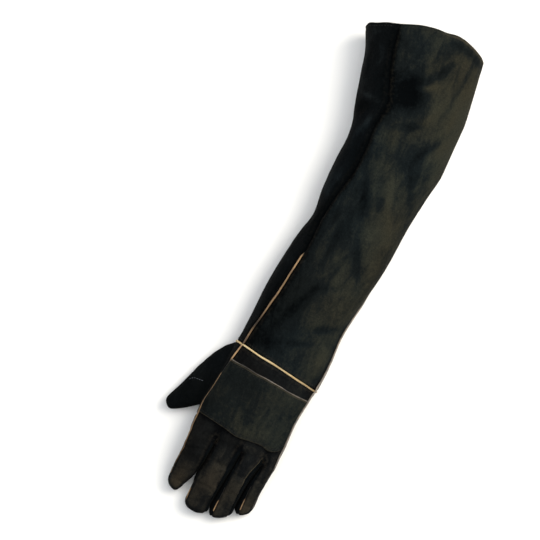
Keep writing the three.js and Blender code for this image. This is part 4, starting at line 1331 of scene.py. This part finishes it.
# The patch over the back of the hand
PATCH_MARGIN = 1.4  # from the thumb's side seam
LITTLE_SIDE_MARGIN = 2.7  # from the other, where the welt shows
PATCH_GAP = 0.12  # between its underside and the hand
PATCH_LIFT = 0.35  # from the hand to where its face rounds over
PATCH_THICKNESS = 1.8
PATCH_STITCHES = 3.2  # from its edges


def cut_wobble(p, size, seed):
    """How far a hand-cut edge strays, as it runs across the glove."""
    return soft_noise(p[..., :1] * np.array([1, 0, 0]), size, seed)


def patch_top_line(p):
    """Above zero below the patch's upper edge."""
    return line_at(PATCH_TOP, p[..., 0]) + 0.7 * cut_wobble(p, 13, 41) - p[..., 1]


def patch_end_line(p):
    """Above zero over the patch's lower edge."""
    return p[..., 1] - patch_end(p[..., 0]) - 0.5 * cut_wobble(p, 9, 42)


def within_margins(rows):
    """Above zero where the patch keeps its distance from the side seams."""
    return rows[:, 6] - mix(PATCH_MARGIN, LITTLE_SIDE_MARGIN, smooth_step(0, 30, rows[:, 0]))


def patch_skin(hand_back):
    """What the patch covers of the hand's back: rows of places, ways out and distances from the side
    seams, and triangles."""
    from_side = seam_distance(side_line, hand_back["flat"], hand_back["normals"])
    rows = np.concatenate([hand_back["points"], hand_back["normals"], from_side[:, None]], axis=1)
    faces = hand_back["faces"]
    for inside in (patch_top_line, patch_end_line, within_margins):
        rows, faces = split(rows, faces, inside(rows))[1]
    return rows, faces


def make_patch(hand_back):
    """The patch. Its skin is given back, for the raw edge and the stitches."""
    rows, faces = patch_skin(hand_back)
    place, normals, from_side = rows[:, :3], unit(rows[:, 3:6]), rows[:, 6]
    open_edge = np.minimum(patch_top_line(rows), patch_end_line(rows))
    edge = np.minimum(open_edge, within_margins(rows))
    round_over = np.sqrt(1 - (1 - np.clip(edge / 1.3, 0, 1)) ** 2)
    pressed = 0.4 * hump(edge - PATCH_STITCHES, 0.9) * (open_edge < 8)
    height = PATCH_LIFT + (PATCH_THICKNESS + 0.35 * soft_noise(place, 30, 43)) * round_over - pressed
    outer = place + normals * height[:, None]
    points, walls = wall(outer, faces, place + PATCH_GAP * normals)
    wear_and_highlight = 0.8 * hump(open_edge, 1.0) + 0.08 * hump(from_side - 4, 2)
    painted_shade_and_tone = 0.05 * smooth_step(-50, -5, place[:, 0]) - 0.03 * smooth_step(5, 35, place[:, 0]) - 0.11
    marks = two_sided(wear_and_highlight, painted_shade_and_tone)
    add_piece("back_patch_panel", points, walls, BACK_SUEDE, ["back_patch"], marks)
    return {"rows": rows, "faces": faces, "normals": normals, "outer": outer}


# The piping and the raw edge
def seam_path(panel, field, keep):
    """The places and ways out along a panel's edge, from cuff to fingertip, where it lies on a field's
    zero level, with the leather's hills but not its roll into the seam."""
    ends = np.unique(edge_of(panel["faces"]))
    on = ends[(np.abs(field(panel["flat"][ends])) < 0.06) & keep(panel["flat"][ends])]
    on = on[np.argsort(-panel["flat"][on, 1])]
    flat, normals = panel["flat"][on], panel["normals"][on]
    place = flat + normals * steadied(hand_relief(flat), normals)[:, None]
    return evened(np.concatenate([place, normals], axis=1), 1.1)


def gauntlet_seam_path(angle_at, short):
    """The same along a side seam of the gauntlet. It ends this far short of the wrist."""
    rim = rim_at(angle_at(CUFF["y"]))
    end = line_at(WRIST, body_point(WRIST[0], angle_at(WRIST[0]))[0])
    y = np.linspace(rim - 3.5, end + short, 300)
    return evened(on_body(y, angle_at(y)), 1.3)


def on_body(y, angle):
    """Places on the body with its hills, and the ways out."""
    place = body_point(y, angle)
    outs = unit(body_point(y, angle, -1.0) - body_point(y, angle, 1.0))
    return np.concatenate([place + outs * steadied(relief(place), outs)[:, None], outs], axis=1)


def round_ended(centres, radius, dirt_and_shade):
    """A path with two more places at each end, so that a cord along it ends round."""
    start, end = unit(centres[:1] - centres[1:2]), unit(centres[-1:] - centres[-2:-1])
    past = np.array([0.9, 0.6])[:, None]
    centres = np.concatenate([centres[:1] + start * past * radius[0], centres,
                              centres[-1:] + end * past[::-1] * radius[-1]])
    radius = np.pad(radius, 2, mode="edge")
    radius[[0, 1, -2, -1]] *= [0.3, 0.75, 0.75, 0.3]
    return centres, radius, np.pad(dirt_and_shade, 2, mode="edge")


def add_welt(node, path, radius, lift, dirt_and_shade, material, closed=False):
    """A folded strip of leather along a path: its radius, how far it lies out of the seam, and how much
    soiling and painted shade darken it, at each place."""
    centres = path[:, :3] + unit(path[:, 3:6]) * lift[:, None]
    centres[:, 2] = np.maximum(centres[:, 2], radius)
    if not closed:
        centres, radius, dirt_and_shade = round_ended(centres, radius, dirt_and_shade)
    ends = [(i, i + 1) for i in range(len(centres) - 1)] + ([(len(centres) - 1, 0)] if closed else [])
    mesh = grown(node + "_welt", WELTS, centres, ends, {"Sides": 12, "Leather": material},
                 {"thickness": radius / 1000, "dirt_and_shade": dirt_and_shade})
    finish(mesh, [node])


def waver(path, seed, size=14):
    """How unevenly a welt runs, at each place along it."""
    return soft_noise(path[:, :3], size, seed)


def over_wrist(path):
    """How far the piping of the little finger's side rises to pass over the wrist's."""
    return 1.3 * hump(wrist_line(path), 3)


def add_index_piping(hand_back):
    """Tan, dark and sunk beside the thumb's root, duller along the finger."""
    path = seam_path(hand_back, side_line, lambda p: (p[:, 0] < -40) & (p[:, 1] > SIDE_PIPING_END))
    y = path[:, 1]
    sunk = smooth_step(-126, -131, y) * smooth_step(-149, -144, y)
    finger = smooth_step(-186, -204, y)
    radius = 1.0 + 0.14 * waver(path, 51) - 0.25 * smooth_step(-128, -135, y) - 0.25 * finger
    lift = 0.5 + 0.25 * waver(path, 52) - 0.5 * sunk
    # Beside the thumb's root the welt sinks, and its darkening there is painted shade; along the finger it is
    # duller leather.
    dirt_and_shade = 0.05 + 0.9 * sunk + 0.25 * smooth_step(-128, -134, y) + 0.35 * finger + 0.2 * waver(path, 64)
    add_welt("index_side_piping", path, radius, lift, dirt_and_shade, TAN_WELT)


def add_little_side_piping(hand_back):
    """Grey, standing out further beside the patch, and sunk in towards the fingertip."""
    path = seam_path(hand_back, side_line, lambda p: (p[:, 0] > 22) & (p[:, 1] > SIDE_PIPING_END))
    y = path[:, 1]
    sunk = smooth_step(-214, -232, y)
    beside_patch = smooth_step(-126, -138, y) * smooth_step(-206, -192, y)
    radius = 0.85 + 0.1 * waver(path, 53) + 0.15 * beside_patch - 0.3 * sunk
    lift = 0.7 + 0.2 * waver(path, 54) + 0.3 * beside_patch - 1.2 * sunk + over_wrist(path)
    # Towards the fingertip the welt sinks, and its darkening there is painted shade.
    dirt_and_shade = 0.1 + 0.8 * sunk + 0.25 * waver(path, 65)
    add_welt("little_side_piping", path, radius, lift, dirt_and_shade, GREY_WELT)


# Of each of three fingertip welts, how far from the tip its bright stretch starts and ends
TIP_WELTS = (("middle", 12, 20), ("ring", 5, 15), ("little", 6, 15))


def add_tip_piping(hand_back):
    """The short tan welts by three fingertips, which run on thinner and darker towards the hand, where they
    sink between the fingers; that darkening is painted shade.
    """
    for i, (name, first, last) in enumerate(TIP_WELTS):
        tip = FINGERS[i + 1][4]
        path = seam_path(hand_back, lambda p: p[..., 0] - strip_edges(i, p[..., 1])[1],
                         lambda p: (p[:, 1] < tip + 34) & (p[:, 1] > tip + 5))
        from_tip = path[:, 1] - tip
        bright = smooth_step(last + 5, last, from_tip) * smooth_step(first - 4, first, from_tip)
        # Past its bright stretch the welt sinks between the fingers, and its darkening there is painted
        # shade.
        add_welt(name + "_tip_piping", path, 0.4 + 0.15 * bright, 0.5 * bright - 0.2,
                 1.0 - 0.75 * bright, TAN_WELT)


def add_gauntlet_piping():
    """Tan at the thumb's side, folded in and hidden towards the cuff, and grey at the other."""
    path = gauntlet_seam_path(thumb_seam_angle, 0.8)
    hidden = smooth_step(6, 18, path[:, 1])
    radius = 1.0 - 0.4 * hidden + 0.12 * waver(path, 55)
    # Where it is folded in towards the cuff, its darkening is painted shade in the seam's groove; it is also
    # darker towards the hand.
    dirt_and_shade = 0.3 + 0.9 * hidden + 0.4 * smooth_step(-20, -80, path[:, 1]) + 0.2 * waver(path, 66)
    add_welt("gauntlet_thumb_side_piping", path, radius, 0.3 - 4.3 * hidden, dirt_and_shade, TAN_WELT)
    path = gauntlet_seam_path(little_seam_angle, -1.0)
    radius, lift = 0.9 + 0.1 * waver(path, 56), 0.65 + over_wrist(path)
    dirt_and_shade = 0.1 + 0.5 * smooth_step(-40, 40, path[:, 1])
    add_welt("gauntlet_little_side_piping", path, radius, lift, dirt_and_shade, GREY_WELT)


WRIST_STEPS = 260


def add_wrist_piping():
    """Golden, the palest leather of the glove, a little soiled, and darker to the right and underneath."""
    angle = np.linspace(0, 360, WRIST_STEPS, endpoint=False)
    path = on_body(line_at(WRIST, body_point(WRIST[0], angle)[:, 0]), angle)
    path[:, 1] += 0.3 * waver(path, 57, 16)
    x, z = path[:, 0], path[:, 2]
    dirt_and_shade = 0.2 * np.clip(waver(path, 59, 22), 0, 1) + 0.1
    dirt_and_shade = dirt_and_shade + 0.4 * smooth_step(-30, 45, x) + 0.4 * smooth_step(34, 10, z)
    radius, lift = 1.1 + 0.12 * waver(path, 58), 0.35 + 0.2 * waver(path, 60)
    add_welt("wrist_piping", path, radius, lift, dirt_and_shade, GOLD_WELT, closed=True)


def add_patch_edge(patch):
    """The grey raw edge along the patch's upper side."""
    rows = patch["rows"]
    on = edge_of(patch["faces"])[:, 0]
    on = on[patch_top_line(rows[on]) < 0.05]
    on = on[np.argsort(rows[on, 0])]
    path = evened(np.concatenate([rows[on, :3], patch["normals"][on]], axis=1), 0.9)
    path[:, 1] += 0.75
    radius, lift = 0.55 + 0.12 * waver(path, 61, 5), 1.0 + 0.25 * waver(path, 62, 9)
    add_welt("patch_edge", path, radius, lift, 0.65 + 0.2 * waver(path, 67), GREY_WELT)


def make_piping(hand_back, patch):
    add_index_piping(hand_back)
    add_little_side_piping(hand_back)
    add_tip_piping(hand_back)
    add_gauntlet_piping()
    add_wrist_piping()
    add_patch_edge(patch)


# The stitches, and of each kind of row their spacing, length and thickness
HEM_ROW, FLAT_ROW, MARK_ROW = (4.0, 3.0, 0.75), (3.6, 2.7, 0.7), (2.6, 2.4, 0.6)
WRIST_STITCHES = 4.2  # from the wrist seam
THUMB_MARK = np.array([(-88, -166.8), (-84.5, -163.6), (-80, -163.4), (-75, -163)])  # seen from above


def add_stitches(name, paths, sizes, material):
    """Rows of stitches of one kind along paths."""
    points, ends = [], []
    for path in paths:
        ends += [(len(points) + i, len(points) + i + 1) for i in range(len(path) - 1)]
        points += np.asarray(path)[:, :3].tolist()
    labels = ("Spacing", "Stitch length", "Thread thickness")
    values = {label: size / 1000 for label, size in zip(labels, sizes)}
    finish(grown(name, STITCHES, points, ends, {**values, "Thread": material}))


def patch_row(patch, line):
    """A row on the patch that keeps its distance from one of the patch's open edges."""
    rows, outer = patch["rows"], patch["outer"]
    close = (np.abs(line(rows) - PATCH_STITCHES) < 0.75) & (rows[:, 6] > PATCH_MARGIN + 2)
    found = outer[close]
    places = []
    for x in np.arange(found[:, 0].min(), found[:, 0].max(), 2.0):
        near = found[np.abs(found[:, 0] - x) < 1.6]
        if len(near):
            places.append(near.mean(axis=0) + [0, 0, 0.12])
    return evened(places, 1.5)


def thumb_mark_row(thumb_back):
    """A short pale repair seam across the thumb's back."""
    p = thumb_back["points"]
    facing_down = thumb_back["normals"][:, 2] < 0.1
    starts, ends, share = THUMB_MARK[:-1, None], THUMB_MARK[1:, None], np.linspace(0, 1, 4)[None, :, None]
    places = []
    for x, y in mix(starts, ends, share).reshape(-1, 2):
        near = np.argsort(np.hypot(p[:, 0] - x, p[:, 1] - y) + 99 * facing_down)[:3]
        places.append([x, y, p[near, 2].mean() + 0.1])
    return evened(places, 1.0)


def make_stitches(gauntlet, patch, thumb_back):
    hem = [line_on(panel, "rim", HEM_STITCHES) for panel in gauntlet]
    wrist = [line_on(panel, "wrist", WRIST_STITCHES) for panel in gauntlet]
    on_patch = [patch_row(patch, line) for line in (patch_top_line, patch_end_line)]
    add_stitches("hem_stitches", hem, HEM_ROW, DARK_THREAD)
    add_stitches("wrist_stitches", wrist, FLAT_ROW, DARK_THREAD)
    add_stitches("patch_stitches", on_patch, FLAT_ROW, DARK_THREAD)
    add_stitches("thumb_mark_stitches", [thumb_mark_row(thumb_back)], MARK_ROW, PALE_THREAD)


# The floor, the light and the camera, placed in the picture
PICTURE_RIGHT = np.array([0.9150, 0.4035, 0.0])
PICTURE_UP = np.array([-0.4035, 0.9150, 0.0])
PICTURE_MIDDLE = np.array([-0.0431, -0.0210, 0.030])
PICTURE_WIDTH = 0.599
FLOOR_HALF = 6.0


def add_floor():
    """A smooth matt studio sheet, pale enough to throw soft light back."""
    material, tree, place = new_material("pale_matt_studio_sheet")
    uneven = add(tree, "ShaderNodeTexNoise", {"Vector": place, "Scale": each(240), "Detail": 2})
    tone = add(tree, "ShaderNodeValToRGB", {"Fac": uneven.outputs[0]},
               [(0.3, linear("#f3f3f1")), (0.7, linear("#f6f6f5"))]).outputs["Color"]
    shader = add(tree, "ShaderNodeBsdfPrincipled",
                 {"Base Color": tone, "Roughness": 0.9, "Specular IOR Level": 0.1})
    add(tree, "ShaderNodeOutputMaterial", {"Surface": shader.outputs[0]})
    mesh = bpy.data.meshes.new("studio_floor")
    corners = [(-1, -1), (1, -1), (1, 1), (-1, 1)]
    mesh.from_pydata([(x * FLOOR_HALF, y * FLOOR_HALF, 0) for x, y in corners], [], [(0, 1, 2, 3)])
    mesh.materials.append(material)
    floor = in_scene("studio_floor", mesh)


def placed(x, y, z, place):
    """The matrix with these three ways and this place."""
    columns = np.stack([x, y, z, place], axis=1)
    return Matrix([*columns.tolist(), [0, 0, 0, 1]])


def soft_light(name, right, up, height, size, power, colour):
    """A soft box seen from the picture's middle, aimed at the glove."""
    lamp = bpy.data.lights.new(name, "AREA")
    lamp.shape, lamp.size, lamp.energy, lamp.color = "DISK", size, power, linear(colour)[:3]
    away = PICTURE_RIGHT * right + PICTURE_UP * up + np.array([0, 0, height])
    z = unit(away[None])[0]
    x = unit(np.cross(PICTURE_UP, z)[None])[0]
    in_scene(name, lamp).matrix_world = placed(x, np.cross(z, x), z, PICTURE_MIDDLE + away)


def add_room():
    """Pale walls all round, as a weak even light."""
    world = bpy.data.worlds.new("studio_room")
    world.use_nodes = True
    background = world.node_tree.nodes["Background"]
    background.inputs["Color"].default_value = linear("#f2f4f6")
    background.inputs["Strength"].default_value = 0.4
    bpy.context.scene.world = world


def add_camera():
    """Straight above, far off with a long lens, and turned as the picture is."""
    lens = bpy.data.cameras.new("picture_camera")
    lens.lens, lens.sensor_width = 900, 36
    lens.clip_start, lens.clip_end = 0.5, 60
    up = np.array([0.0, 0.0, 1.0])
    camera = in_scene("picture_camera", lens)
    away = PICTURE_WIDTH * lens.lens / lens.sensor_width
    camera.matrix_world = placed(PICTURE_RIGHT, PICTURE_UP, up, PICTURE_MIDDLE + up * away)
    bpy.context.scene.camera = camera
    bpy.context.scene.view_settings.view_transform = "Standard"


def make_studio():
    add_floor()
    soft_light("key_soft_box", 1.25, 0.5, 1.55, 1.5, 46, "#fff8ec")
    soft_light("fill_soft_box", -1.2, 0.4, 1.5, 1.6, 6, "#eaf1ff")
    soft_light("top_soft_box", 0.1, 0.1, 2.2, 2.0, 28, "#ffffff")
    add_room()
    add_camera()


gauntlet = make_gauntlet()
hand_back, thumb_back = make_hand()
patch = make_patch(hand_back)
make_piping(hand_back, patch)
make_stitches(gauntlet, patch, thumb_back)
make_studio()
